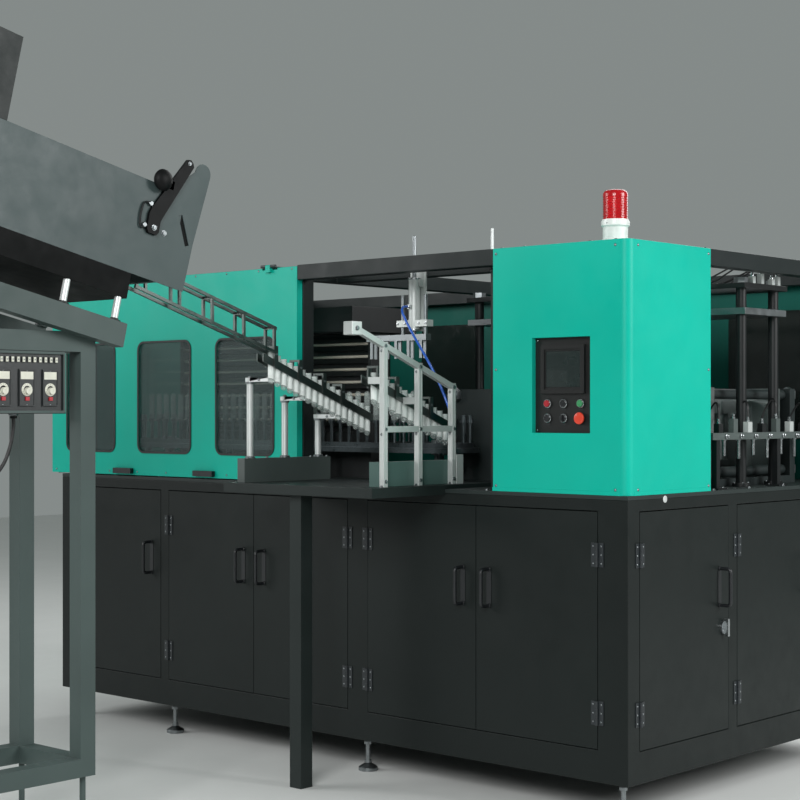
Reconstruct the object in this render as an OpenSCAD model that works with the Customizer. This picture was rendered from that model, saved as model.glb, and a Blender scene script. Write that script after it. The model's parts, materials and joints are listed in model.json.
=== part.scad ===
// Stretch blow moulding machine with a preform feeder: a steel base cabinet with doors, a
// covered heating oven, a clamp with two mould halves, an operator housing at one corner,
// and a roller feeder on its own stand whose rails slope down to the infeed table.
// The near corner of the base is the machine's own zero: x runs back along the long side
// (negative), y across the machine to the rear, z up from the floor.

/* [Machine] */
// Length over the covers
machine_l = 3250; // [3200:10:3600]
// Width from the front face to the rear face
machine_w = 1700; // [1690:5:1900]
// Height of the top frame
machine_h = 2000; // [1980:10:2100]
// Height of the bed's top face
bed_z = 1120; // [1100:5:1140]
// Thickness of the bed plate
bed_t = 15; // [10:1:25]
// Height of the base's underside over the floor
foot_h = 128; // [100:1:150]

/* [Base cabinet] */
// Width of the near corner post on the long side
corner_w = 126; // [100:1:150]
// Depth of the posts and rails
post_d = 70; // [50:1:90]
// Width of the posts between two bays
mid_post_w = 108; // [90:1:140]
// Width of a door opening on the long side
bay_w = 1092; // [1060:2:1120]
// Width of the single door opening at the far end
end_bay_w = 600; // [500:1:640]
// Width of the last post but one
thin_post_w = 54; // [50:1:80]
// Width of the far end post
end_post_w = 110; // [90:1:140]
// Width of a door opening on the short side
side_bay_w = 575; // [560:1:580]
// Width of the posts on the short side
side_post_w = 60; // [50:1:80]
// Height of the bottom rail
bottom_rail_h = 112; // [90:1:130]
// Height of the top rail under the bed plate
top_rail_h = 40; // [30:1:50]
// Depth of a door's folded edge
door_d = 20; // [15:1:30]
// Thickness of the door sheet
sheet_t = 2; // [1:0.5:3]
// Gap around a door
door_gap = 3; // [2:0.5:4]
// Radius of a hinge knuckle
knuckle_r = 6; // [5:0.5:8]
// Radius of a hinge pin
pin_r = 3; // [2:0.5:4]
// Length of a hinge
hinge_l = 84; // [60:2:100]
// Width of a hinge leaf
leaf_w = 26; // [20:1:32]
// Height of a door pull
pull_h = 150; // [120:2:180]
// Reach of a door pull
pull_d = 54; // [40:1:58]
// Diameter of the round door lock
lock_d = 50; // [40:1:54]

/* [Operator housing] */
// Length of the housing
house_l = 592; // [560:2:620]
// Depth of the housing
house_w = 524; // [480:2:560]
// Radius of its near corner
house_r = 34; // [20:1:50]
// Wall of the housing
house_t = 3; // [2:0.5:4]
// Distance from the near corner to the panel recess
recess_x = 159; // [130:1:175]
// Width of the panel recess
recess_w = 253; // [250:1:270]
// Height of the panel recess
recess_h = 337; // [330:1:350]
// Height of the recess over the bed
recess_up = 213; // [190:1:240]
// Depth of the recess
recess_d = 26; // [22:1:34]
// Radius of a push button's cap
button_r = 12; // [10:0.5:14]
// Travel of a push button
button_travel = 4; // [2:0.5:5]
// Radius of the emergency stop's head
estop_r = 21; // [18:0.5:24]
// Height of the beacon's base
beacon_base_h = 82; // [60:1:100]
// Height of the beacon's lens
beacon_lens_h = 105; // [80:1:120]
// Radius of the beacon
beacon_r = 50; // [40:1:55]

/* [Covers and top frame] */
// Size of the top frame's square tube
tube = 60; // [50:1:70]
// Length of the guard in front of the oven
guard_l = 1640; // [1600:5:1650]
// Depth of the guard's folded edge
guard_d = 30; // [25:1:34]
// Width of a guard window
window_w = 348; // [300:1:380]
// Height of a guard window
window_h = 480; // [420:5:520]
// Corner radius of a guard window
window_r = 34; // [20:1:50]
// Distance between guard windows
window_pitch = 518; // [480:1:530]
// Height of the guard windows over the bed
window_up = 110; // [90:1:150]
// Thickness of a window pane
pane_t = 4; // [3:0.5:6]
// Width of a rear window
rear_window_w = 360; // [300:5:420]
// Height of a rear window
rear_window_h = 530; // [400:5:600]
// Distance between rear windows
rear_pitch = 600; // [560:5:620]

/* [Oven and chain] */
// Distance of the chain's front run behind the front face
chain_y = 330; // [320:1:345]
// Pitch radius of the chain wheels
wheel_r = 130; // [120:1:140]
// Distance from the near corner to the drive wheel
drive_x = 1250; // [1240:1:1300]
// Distance between the two chain wheels
wheel_gap = 1700; // [1600:5:1720]
// Height of the chain guide over the bed
guide_up = 120; // [100:1:140]
// Distance between mandrels
mandrel_pitch = 50.8; // [50:0.1:60]
// Height of a mandrel's collar over the chain
mandrel_h = 92; // [80:1:110]
// Radius of a heating lamp
lamp_r = 6; // [5:0.5:7]
// Number of lamps one above another
lamp_count = 7; // [4:1:8]

/* [Preform] */
// Length of a preform
preform_l = 120; // [100:1:125]
// Outer radius of a preform's body
preform_r = 12.5; // [11:0.1:13]
// Radius of the neck ring
ring_r = 16.3; // [15.5:0.1:16.4]
// Wall of a preform
preform_t = 3; // [2:0.1:4]
// Length of the neck over the ring
neck_l = 21; // [18:1:24]

/* [Infeed] */
// Thickness of the table plate
table_t = 15; // [10:1:20]
// Reach of the table in front of the machine
table_out = 400; // [390:5:440]
// Reach of the table into the machine
table_in = 270; // [240:1:290]
// Distance from the near corner to the table's near edge
table_x = 820; // [780:1:826]
// Length of the table
table_l = 785; // [760:1:788]
// Slope of the preform lanes in degrees
lane_slope = 21; // [18:0.5:22]
// Distance from the near corner to the first lane
lane_x = 1400; // [1390:1:1410]
// Distance from the near corner to the second lane
lane2_x = 950; // [944:1:956]
// Height of the first lane's rails at the front face
lane_z = 1475; // [1460:1:1480]
// Height of the second lane's rails at the front face
lane2_z = 1428; // [1420:1:1440]
// Thickness of a lane rail
rail_t = 6; // [5:0.5:8]
// Depth of a lane rail
rail_h = 30; // [24:1:34]
// Radius of the silver support posts
support_r = 13; // [10:0.5:15]
// Size of the aluminium bars
bar = 22; // [20:1:26]

/* [Blow clamp] */
// Distance from the near corner to the clamp's near end
clamp_x = 150; // [140:1:160]
// Length of the clamp's platens
clamp_l = 1200; // [1180:5:1210]
// Distance of the clamp's front face behind the machine's front
clamp_y = 640; // [635:1:650]
// Depth over the clamp's two fixed platens
clamp_w = 760; // [740:5:780]
// Thickness of a fixed platen
fixed_t = 40; // [30:1:50]
// Thickness of a moving platen
moving_t = 30; // [24:1:36]
// Radius of a tie bar
tie_r = 20; // [16:1:24]
// Thickness of a mould half
mould_t = 90; // [80:1:95]
// Length of a mould half
mould_l = 980; // [960:5:1000]
// Height of a mould half
mould_h = 260; // [240:5:270]
// Number of cavities
cavity_count = 6; // [2:1:6]
// Distance between cavities
cavity_pitch = 160; // [120:1:162]
// Radius of a bottle cavity
cavity_r = 32; // [25:1:36]
// Radius of a guide column
column_r = 20; // [16:1:24]
// Radius of a stretch rod
rod_r = 6; // [4:0.5:8]
// Travel of the stretch carriage
stretch_travel = 200; // [150:5:210]

/* [Loader] */
// Distance from the near corner to the loader's cylinder
loader_x = 1154; // [1150:1:1158]
// Distance of the loader behind the front face
loader_y = 200; // [196:1:204]
// Radius of the loader's cylinder
loader_r = 22.5; // [18:0.5:24]
// Length of the gripper bar
gripper_l = 320; // [310:1:330]
// Travel of the gripper
gripper_travel = 100; // [60:5:110]

/* [Feeder] */
// Slope of the feeder in degrees
feed_slope = 12.7; // [11:0.1:14]
// Distance of its low end in front of the machine
feed_y = 964; // [950:1:980]
// Height of its low end
feed_z = 1822; // [1815:1:1840]
// Length of the feeder's trough
feed_l = 1350; // [1340:5:1400]
// Width of the feeder's trough
feed_w = 430; // [420:2:440]
// Height of the trough's side plates
feed_h = 330; // [320:2:340]
// Thickness of the side plates
feed_t = 4; // [3:0.5:6]
// Depth of the pan under the trough
pan_h = 88; // [70:2:95]
// Radius of a feed roller
roller_r = 45; // [38:1:48]
// Gap between the two rollers
roller_gap = 27; // [26.5:0.5:30]
// Height of the hopper over the trough
hopper_h = 280; // [240:5:320]
// Length of the hopper
hopper_l = 540; // [480:5:560]
// Height of the stand's top beam
stand_z = 1670; // [1660:5:1680]
// Height of the stand's legs over the floor
stand_foot = 210; // [180:5:230]
// Distance of the stand's first legs in front of the machine
stand_y = 1326; // [1310:1:1340]
// Distance between the first and last legs
stand_l = 840; // [820:5:860]
// Width of the control box
control_l = 300; // [290:2:310]
// Height of the control box
control_h = 202; // [196:1:206]
// Depth of the control box
control_d = 150; // [120:2:170]

/* [Hidden] */

$fn = 48;
fit = 0.05;      // radial clearance of a shaft in its bore
seat = 0.3;      // clearance of a piece that is lifted out or slides
cable_r = 6;     // radius of the feeder's cable
hose_r = 5;      // radius of the air hose

// The machine that the lengths below were taken from. The doors and the oven at its far
// end, and the windows' height, take up what another machine is longer or taller.
standard_l = 3250;
standard_h = 2000;
extra_l = machine_l-standard_l;
extra_h = machine_h-standard_h;

// The model is centred on the floor: the base's near corner lies at this point.
reach_y = feed_y+feed_l*cos(feed_slope)+pan_h*sin(feed_slope);
near_corner = [(machine_l-pull_d)/2, (reach_y-machine_w)/2, 0];

// Base cabinet
base_top = bed_z-bed_t;
door_z0 = foot_h+bottom_rail_h;
door_z1 = base_top-top_rail_h;
bay_1 = corner_w;
bay_2 = bay_1+bay_w+mid_post_w;
far_bay_w = bay_w-9+extra_l;    // the second pair of doors is a little narrower
bay_3 = bay_2+far_bay_w+thin_post_w;
base_l = bay_3+end_bay_w+end_post_w;
side_1 = post_d;
side_2 = side_1+side_bay_w+side_post_w;
side_3 = side_2+side_bay_w+side_post_w;
door_w = bay_w/2;
far_door_w = far_bay_w/2;
pull_z = door_z0+0.64*(door_z1-door_z0);
pull_in = 62;           // from a door's free edge to its pull
lock_in = 36;           // and to its lock
lock_z = pull_z-150;
cross_h = 60;
cross_x = [300, 900, 1650, 2250+extra_l*0.6, 2900+extra_l];

// Electrical cabinet inside the base
cabinet_x = 230;
cabinet_y = 1130;
cabinet_l = 740;
cabinet_d = 350;
cabinet_h = 800;

// Operator housing
panel_t = 6;
panel_z = bed_z+recess_up;
panel_mid = recess_x+recess_w/2;
screen_w = 190;
screen_h = 172;
screen_z = panel_z+recess_h-26-screen_h;
button_x = [panel_mid+70, panel_mid, panel_mid-74];
button_z = [panel_z+104, panel_z+52];
cap_l = 16;
beacon_pos = [-140, 125];

// Covers
guard_run = guard_l+extra_l;
guard_x = machine_l-guard_run;
guard_gap = 5;
guard_mid = guard_x+guard_run/2;
pane_pitch = window_pitch+extra_l/3;
guard_z0 = bed_z+guard_gap;
guard_z1 = machine_h-guard_gap;
guard_axis = [-2-knuckle_r, guard_z1+knuckle_r+1];
beam_y = guard_d+guard_gap;
beam_z = machine_h-tube;
inner_y = 230;
rear_mid = [for (i = [0:4]) 450+i*(rear_pitch+extra_l/4)];

// Chain
wheel_y = chain_y+wheel_r;
chain_run = wheel_gap+extra_l;
idle_x = drive_x+chain_run;
guide_z = bed_z+guide_up;
guide_t = 20;
chain_z = guide_z+guide_t;
chain_t = 20;
collar_z = chain_z+chain_t+mandrel_h;
track_half = 35;
shaft_r = 20;
bank_x0 = guard_x-30;
bank_x1 = idle_x-wheel_r-10;
hood_z = machine_h-260;
lamp_pitch = (hood_z-chain_z-104)/lamp_count;

// Lanes
slot_half = preform_r+1;
lane_pitch = 2*ring_r+0.6;
tilt_lift = ring_r*tan(lane_slope)+seat;
table_z = bed_z+table_t;
skirt_h = 22;
table_leg_x = table_x+400;
post_x = lane_x+150;
stand_x = lane2_x-92;
lane_front = -400;
lane_back = 205;
lane2_front = -300;
lane2_back = 165;

// Clamp
clamp_mid = clamp_x+clamp_l/2;
clamp_back = clamp_y+clamp_w;
clamp_centre = clamp_y+clamp_w/2;
platen_z0 = bed_z+30;
platen_h = 350;
mould_z0 = platen_z0+40;
mould_open = 140;
mould_gap = 0.25;
tie_z = [platen_z0+24, platen_z0+platen_h-24];
tie_x = [clamp_x+40, clamp_x+clamp_l-40];
ram_z = mould_z0+mould_h/2;
ram_r = 20;
column_x = [clamp_x-50, clamp_x+clamp_l+50];
column_dy = 120;
bridge_z = 1880;
carriage_z = bridge_z-100;
carriage_t = 25;

// Loader
gripper_z = 1688;
loader_z0 = 1725;
loader_z1 = 1935;
guide_z0 = 1742;
guide_z1 = 1768;
gripper_h = 24;
guide_rod_r = 8;
guide_dx = 60;
gripper_dx = -86;      // middle of the gripper bar, from the cylinder
plate_y = inner_y-8;

// Feeder
feed_x = lane_x;
feed_half = feed_w/2;
roller_z = 100;
roller_dx = roller_r+roller_gap/2;
end_plate = 12;
end_z0 = 20;            // underside of the low end plate
exit_z = 60;            // where its slot starts
low_end = 60;           // from the trough's low end to that plate
shaft_small = 10;
lever_pos = [-180, 174];
leg_x = feed_x-feed_half+15;
beam_drop = 178;
rail_w = 50;
rail_d = 80;
control_y = stand_y+tube+60;
knob_pitch = 90;
knob_z = stand_z-tube-10-control_h/2-24;

// Route of the cable, in the machine's own place: down from the control box, up to the pan
cable_start = [-leg_x-control_d/2, -control_y-control_l/2, stand_z-tube-6-control_h-15];
pan_hole = [50, -930];
cable_end = [pan_hole.x-feed_x,
    pan_hole.y*cos(feed_slope)-pan_h*sin(feed_slope)-feed_y,
    feed_z-pan_hole.y*sin(feed_slope)-pan_h*cos(feed_slope)-11];
cable_down = [[0, 0, 0], [0, 0, -20], [0, -5, -60], [-1, -17, -104], [-3, -38, -149],
    [-7, -70, -184], [-13, -110, -200], [-19, -152, -198]];
cable_up = [[50, 98, -718], [44, 68, -680], [38, 47, -630], [32, 32, -570], [26, 22, -500],
    [20, 15, -420], [14, 10, -330], [8, 6, -230], [4, 3, -140], [2, 1, -70], [0, 0, -20],
    [0, 0, 0]];
cable_route = concat([for (d = cable_down) cable_start+d], [for (d = cable_up) cable_end+d]);

// Route of the air hose from the loader's cylinder down to the block on the lane stand
port_z = 1820;
hose_start = [-loader_x, loader_y-loader_r-10, port_z];
hose_end = [-stand_x-18, 115, table_z+110];
hose_out = [[0, 0, 0], [0, -15, 0], [2, -31, -2], [7, -44, -8], [15, -55, -17], [26, -64, -30],
    [40, -70, -45], [55, -75, -64], [72, -78, -85], [90, -80, -108], [109, -81, -133],
    [129, -80, -161], [149, -78, -190]];
hose_down = [[-109, -24, 355], [-90, -21, 324], [-72, -18, 291], [-55, -13, 258], [-40, -10, 225],
    [-26, -7, 191], [-15, -4, 158], [-7, -2, 125], [-2, -1, 92], [0, 0, 60], [0, 0, 15],
    [0, 0, 0]];
hose_route = concat([for (d = hose_out) hose_start+d], [for (d = hose_down) hose_end+d]);

function unit(v) = v/norm(v);
function heading(p, i) = unit(p[min(i+1, len(p)-1)]-p[max(i-1, 0)]);
function carry(n, t) = unit(n-(n*t)*t);
function normals(p, i = 0, n = [1, 1, 0], done = []) =
    i == len(p) ? done :
    let (m = carry(n, heading(p, i))) normals(p, i+1, m, concat(done, [m]));
// One ring of the tube for each point of its route
function ring(c, t, n, r, sides) =
    let (b = cross(t, n)) [for (k = [0:sides-1]) c+r*(cos(k*360/sides)*n+sin(k*360/sides)*b)];

module sweep(p, r, sides = 8) {
    ns = normals(p);
    pts = [for (i = [0:len(p)-1]) each ring(p[i], heading(p, i), ns[i], r, sides)];
    last = (len(p)-1)*sides;
    walls = [for (i = [0:len(p)-2]) for (k = [0:sides-1])
        let (a = i*sides+k, b = i*sides+(k+1)%sides) [a, a+sides, b+sides, b]];
    polyhedron(points = pts, faces = concat(
        [[for (k = [0:sides-1]) k]], walls, [[for (k = [sides-1:-1:0]) last+k]]));
}

module place() translate(near_corner) children();

// A block from one corner to the other
module block(a, b) translate([min(a.x, b.x), min(a.y, b.y), min(a.z, b.z)])
    cube([abs(b.x-a.x), abs(b.y-a.y), abs(b.z-a.z)]);

module rod_x(x0, x1, y, z, r) translate([min(x0, x1), y, z]) rotate([0, 90, 0])
    cylinder(r = r, h = abs(x1-x0));
module rod_y(x, y0, y1, z, r) translate([x, max(y0, y1), z]) rotate([90, 0, 0])
    cylinder(r = r, h = abs(y1-y0));
module rod_z(x, y, z0, z1, r) translate([x, y, min(z0, z1)]) cylinder(r = r, h = abs(z1-z0));

// Rectangle with round corners, drawn from its lower left corner
module round_rect(w, h, r) {
    translate([r, 0]) square([w-2*r, h]);
    translate([0, r]) square([w, h-2*r]);
    for (x = [r, w-r]) for (y = [r, h-r]) translate([x, y]) circle(r);
}

// A window's outline through a sheet that faces the front
module window_cut(mid, z0, w, h, r, y0, y1)
    translate([-mid-w/2, y1, z0]) rotate([90, 0, 0]) linear_extrude(y1-y0) round_rect(w, h, r);

// The feeder's own place: y down its slope, z square to it, zero at its low end
module tilted() translate([-feed_x, -feed_y, feed_z]) rotate([-feed_slope, 0, 0]) children();

// Base cabinet
module base_frame() color("#3a4347") place() {
    spans = [[0, corner_w], [bay_2-mid_post_w, bay_2], [bay_3-thin_post_w, bay_3],
        [base_l-end_post_w, base_l]];
    for (s = spans) for (y = [0, machine_w-post_d])
        block([-s[0], y, foot_h], [-s[1], y+post_d, base_top]);
    for (y = [0, machine_w-post_d]) {
        block([0, y, foot_h], [-base_l, y+post_d, door_z0]);
        block([0, y, door_z1], [-base_l, y+post_d, base_top]);
    }
    for (x = [0, post_d-base_l]) {
        block([x, post_d, foot_h], [x-post_d, machine_w-post_d, door_z0]);
        block([x, post_d, door_z1], [x-post_d, machine_w-post_d, base_top]);
    }
    for (y = [side_2-side_post_w, side_3-side_post_w])
        block([0, y, door_z0], [-post_d, y+side_post_w, door_z1]);
    for (x = cross_x)
        block([-x-30, post_d, foot_h], [-x+30, machine_w-post_d, foot_h+cross_h]);
}

module bed_plate() color("#3f484b") place() difference() {
    block([0, 0, base_top], [-base_l, machine_w, bed_z]);
    rod_z(-drive_x, wheel_y, base_top-1, bed_z+1, shaft_r+6);
}

module levelling_feet() color("#8d9294") place()
    for (x = [60, bay_2-mid_post_w/2, bay_3-thin_post_w/2, base_l-60])
        for (y = [60, machine_w-60]) translate([-x, y, 0]) {
            cylinder(r = 38, h = 12);
            cylinder(r = 9, h = foot_h);
            translate([0, 0, foot_h-26]) cylinder(r = 16, h = 12, $fn = 6);
        }

module fixed_panels() color("#39424a") place() {
    inset = 8;
    for (b = [[bay_1, bay_w], [bay_2, far_bay_w], [bay_3, end_bay_w]])
        block([-b[0], machine_w-inset-sheet_t, door_z0],
            [-b[0]-b[1], machine_w-inset, door_z1]);
    block([-inset, side_3, door_z0], [-inset-sheet_t, machine_w-post_d, door_z1]);
    block([inset-base_l, post_d, door_z0], [inset+sheet_t-base_l, machine_w-post_d, door_z1]);
}

// A hinge's fixed half: its leaf lies on the post to the left, its pin stands upright
module hinge_fixed() {
    third = hinge_l/3;
    difference() {
        union() {
            block([-leaf_w, -3, 0], [-2, 0, hinge_l]);
            for (z = [0, 2*third]) {
                translate([0, -knuckle_r, z]) cylinder(r = knuckle_r, h = third-0.5);
                block([-leaf_w, -3, z], [0, -0.2, z+third-0.5]);
            }
        }
        block([-2, -2*knuckle_r-1, third-0.5], [leaf_w, 1, 2*third]);
        translate([0, -knuckle_r, third-0.5]) cylinder(r = knuckle_r+0.5, h = third+0.5);
    }
    translate([0, -knuckle_r, 0]) cylinder(r = pin_r, h = hinge_l-0.5);
}

// Its moving half: one knuckle on the pin, and a leaf on the door to the right
module hinge_moving() {
    third = hinge_l/3;
    difference() {
        union() {
            translate([0, -knuckle_r, third]) cylinder(r = knuckle_r, h = third-1);
            block([0, -3, third], [leaf_w, -0.2, 2*third-1]);
            block([3, -3, 0], [leaf_w, 0, hinge_l-0.5]);
        }
        translate([0, -knuckle_r, third-1]) cylinder(r = pin_r+fit, h = third+1);
        for (z = [-1, 2*third-0.5]) translate([0, -knuckle_r, z])
            cylinder(r = knuckle_r+1, h = third+1);
    }
}

hinge_up = [86, door_z1-door_z0-109-hinge_l];

// Where each door hangs: the distance of its hinge line, and 1 where it opens to the left
front_hinge = [bay_1, bay_1+bay_w, bay_2, bay_2+far_bay_w, bay_3+end_bay_w];
front_turn = [1, 0, 1, 0, 0];
front_width = [door_w, door_w, far_door_w, far_door_w, end_bay_w];

// A door seen from outside with its hinge line at zero and its sheet to the right
module door(w) {
    h = door_z1-door_z0;
    half = door_gap/2;
    difference() {
        block([half, 0, door_gap], [w-half, door_d, h-door_gap]);
        block([half+sheet_t, sheet_t, door_gap+sheet_t],
            [w-half-sheet_t, door_d+1, h-door_gap-sheet_t]);
    }
    for (z = hinge_up) translate([0, 0, z]) hinge_moving();
    translate([w-pull_in, 0, pull_z-door_z0]) pull();
}

module pull() {
    for (z = [-pull_h/2, pull_h/2-16]) block([-9, -pull_d, z], [9, 0, z+16]);
    block([-9, -pull_d, -pull_h/2], [9, -pull_d+13, pull_h/2]);
}

// Doors on the long side: the first of a pair is mirrored about its hinge line
module front_place(i) translate([-front_hinge[i], 0, door_z0])
    mirror([front_turn[i], 0, 0]) children();
module front_door(i) color("#3d464a") place() front_place(i) door(front_width[i]);

module side_place(i) translate([0, side_1+i*(side_bay_w+side_post_w), door_z0])
    rotate([0, 0, 90]) children();
module side_door(i) color("#3d464a") place() side_place(i) difference() {
    door(side_bay_w);
    if (i == 0) rod_y(side_bay_w-lock_in, -1, door_d+1, lock_z-door_z0, lock_d/2-6);
}

module side_door_lock() color("#b9bdbf") place() side_place(0)
    translate([side_bay_w-lock_in, 0, lock_z-door_z0]) {
        rod_y(0, -9, -seat, 0, lock_d/2);
        rod_y(0, -seat, door_d+4, 0, lock_d/2-6-fit);
        block([-10, door_d+0.5, -4], [10, door_d+4, 34]);
        block([-6, -24, -32], [6, -9, 32]);
    }

module hinge_leaves() color("#23282a") place() {
    for (i = [0:4]) front_place(i) for (z = hinge_up) translate([0, 0, z]) hinge_fixed();
    for (i = [0, 1]) side_place(i) for (z = hinge_up) translate([0, 0, z]) hinge_fixed();
    for (x = guard_hinge_x) translate([-x, 0, 0]) guard_hinge_fixed();
}

module electrical_cabinet() color("#a7adab") place() {
    z0 = foot_h+cross_h;
    x0 = cabinet_x;
    y1 = cabinet_y+cabinet_d;
    step = cabinet_l/6;
    difference() {
        block([-x0, cabinet_y, z0], [-x0-cabinet_l, y1, z0+cabinet_h]);
        block([-x0-sheet_t, cabinet_y-1, z0+sheet_t],
            [sheet_t-x0-cabinet_l, y1-sheet_t, z0+cabinet_h-sheet_t]);
    }
    block([-x0-30, y1-10, z0+40], [30-x0-cabinet_l, y1-sheet_t-seat, z0+cabinet_h-40]);
    for (r = [0:2]) for (c = [0:4])
        block([-x0-step*(c+0.5), y1-80, z0+90+r*cabinet_h*0.29],
            [-x0-step*(c+1.22), y1-10, z0+90+r*cabinet_h*0.29+cabinet_h*0.15]);
}

module drive_motor() color("#4d6670") place() {
    difference() {
        union() {
            block([-drive_x-70, wheel_y-80, base_top-150], [-drive_x+70, wheel_y+80, base_top]);
            rod_y(-drive_x, wheel_y+80, wheel_y+330, base_top-85, 62);
            rod_y(-drive_x, wheel_y+330, wheel_y+360, base_top-85, 50);
            for (a = [0:30:330]) translate([-drive_x, wheel_y+90, base_top-85])
                rotate([0, a, 0]) block([-2, 0, 60], [2, 220, 68]);
        }
        rod_z(-drive_x, wheel_y, base_top-120, base_top+1, shaft_r+fit);
    }
}

// Operator housing
module house_outline(inset) difference() {
    translate([-house_l+inset, inset]) square([house_l-2*inset, house_w-2*inset]);
    difference() {
        translate([-house_r, 0]) square([house_r, house_r]);
        translate([-house_r, house_r]) circle(house_r-inset);
    }
}

module control_housing() color("#14b8a4") place() difference() {
    translate([0, 0, bed_z]) linear_extrude(machine_h-bed_z) house_outline(0);
    difference() {
        translate([0, 0, bed_z-1]) linear_extrude(machine_h-bed_z-house_t+1)
            house_outline(house_t);
        block([-recess_x+house_t, 0, panel_z-house_t],
            [-recess_x-recess_w-house_t, recess_d+house_t, panel_z+recess_h+house_t]);
    }
    block([-recess_x, -1, panel_z], [-recess_x-recess_w, recess_d, panel_z+recess_h]);
}

module hmi_panel() color("#17191a") place() difference() {
    union() {
        block([-recess_x, recess_d-panel_t, panel_z],
            [-recess_x-recess_w, recess_d, panel_z+recess_h]);
        block([-panel_mid+screen_w/2, recess_d-panel_t-8, screen_z],
            [-panel_mid-screen_w/2, recess_d-panel_t, screen_z+screen_h]);
        for (x = button_x) for (z = button_z)
            rod_y(-x, recess_d-panel_t-4, recess_d-panel_t, z, button_r+4);
    }
    block([-panel_mid+screen_w/2-20, 0, screen_z+22],
        [-panel_mid-screen_w/2+20, recess_d-panel_t-4, screen_z+screen_h-22]);
    for (x = button_x) for (z = button_z)
        rod_y(-x, -1, recess_d-panel_t+4, z, button_r+fit);
}

module touch_screen() color("#6f7d86") place()
    block([-panel_mid+screen_w/2-20-seat, recess_d-panel_t-6, screen_z+22+seat],
        [-panel_mid-screen_w/2+20+seat, recess_d-panel_t-4, screen_z+screen_h-22-seat]);

// A push button's cap and stem, in the hole at column c and row r
module push(c, r) {
    front = recess_d-panel_t-4;
    rod_y(-button_x[c], front-7, front+cap_l-7-3-button_travel, button_z[r], button_r);
}

module stop_button() color("#b3261e") place() push(0, 0);
module reset_button() color("#1c1e1f") place() push(1, 0);
module start_button() color("#1f8a4c") place() push(2, 0);
module jog_button() color("#1c1e1f") place() push(0, 1);

module mode_selector() color("#1c1e1f") place() {
    push(1, 1);
    front = recess_d-panel_t-11;
    block([-button_x[1]-3.5, front-6, button_z[1]-button_r+1],
        [-button_x[1]+3.5, front, button_z[1]+button_r-1]);
}

module emergency_stop() color("#c8321f") place() {
    push(2, 1);
    front = recess_d-panel_t-4-button_travel-seat;
    rod_y(-button_x[2], front-9, front, button_z[1], estop_r);
}

module beacon_base() color("#d9dcda") place() translate([beacon_pos.x, beacon_pos.y, machine_h]) {
    cylinder(r = beacon_r-3, h = beacon_base_h-20);
    translate([0, 0, beacon_base_h-20]) cylinder(r = beacon_r, h = 20);
}

module beacon_lens() color("#c4161c") place()
    translate([beacon_pos.x, beacon_pos.y, machine_h+beacon_base_h]) rotate_extrude() {
        crown = 16;
        square([beacon_r-6, beacon_lens_h-crown]);
        translate([0, beacon_lens_h-crown]) intersection() {
            circle(crown);
            square(crown);
        }
        translate([0, beacon_lens_h-crown]) square([beacon_r-6-crown, crown]);
        translate([beacon_r-6-crown, beacon_lens_h-crown]) intersection() {
            circle(crown);
            square(crown);
        }
    }

// Top frame and covers
module top_frame() color("#343c40") place() {
    post_y1 = machine_w-tube-10;
    // Beam over the centre opening and the one over the guard
    block([-house_l, 0, beam_z], [-guard_x, tube, machine_h]);
    block([-guard_x, beam_y, beam_z], [10-machine_l, beam_y+tube, machine_h]);
    // Inner beam that carries the loader, with its two ties
    block([-house_l, inner_y, beam_z], [-guard_x, inner_y+tube, machine_h]);
    block([-house_l, tube, beam_z], [-house_l-tube, inner_y, machine_h]);
    block([-guard_x, beam_y, beam_z], [-guard_x-tube, post_y1, machine_h]);
    // Side beam and rear beam
    block([-tube, house_w, beam_z], [0, post_y1, machine_h]);
    block([0, post_y1, beam_z], [10-machine_l, post_y1+tube, machine_h]);
    block([10-machine_l, beam_y, beam_z], [10+tube-machine_l, post_y1, machine_h]);
    // Posts on the bed
    block([-guard_x, beam_y, bed_z], [-guard_x-tube, beam_y+tube, beam_z]);
    block([80-base_l, beam_y, bed_z], [80+tube-base_l, beam_y+tube, beam_z]);
    for (x = [0, guard_x, base_l-80-tube])
        block([-x, post_y1, bed_z], [-x-tube, post_y1+tube, beam_z]);
    block([-house_l, tube, bed_z], [-house_l-tube, 2*tube, beam_z]);
}

guard_hinge_x = [guard_x+160, guard_mid, machine_l-160];
latch_at = [-0.5, 0.55];    // places of the latches, in window pitches from the middle

module guard_hinge_fixed() translate([0, guard_axis[0], guard_axis[1]]) {
    third = hinge_l/3;
    for (s = [-1, 1]) {
        x = s > 0 ? third/2+0.5 : -third*1.5;
        rod_x(x, x+third-0.5, 0, 0, knuckle_r);
        block([x, 0, -knuckle_r], [x+third-0.5, beam_y-guard_axis[0]-0.2, -knuckle_r+4]);
        block([x, beam_y-guard_axis[0]-4, -knuckle_r],
            [x+third-0.5, beam_y-guard_axis[0]-0.2, -knuckle_r-22]);
    }
    rod_x(-third*1.5, third*1.5, 0, 0, pin_r);
}

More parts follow.
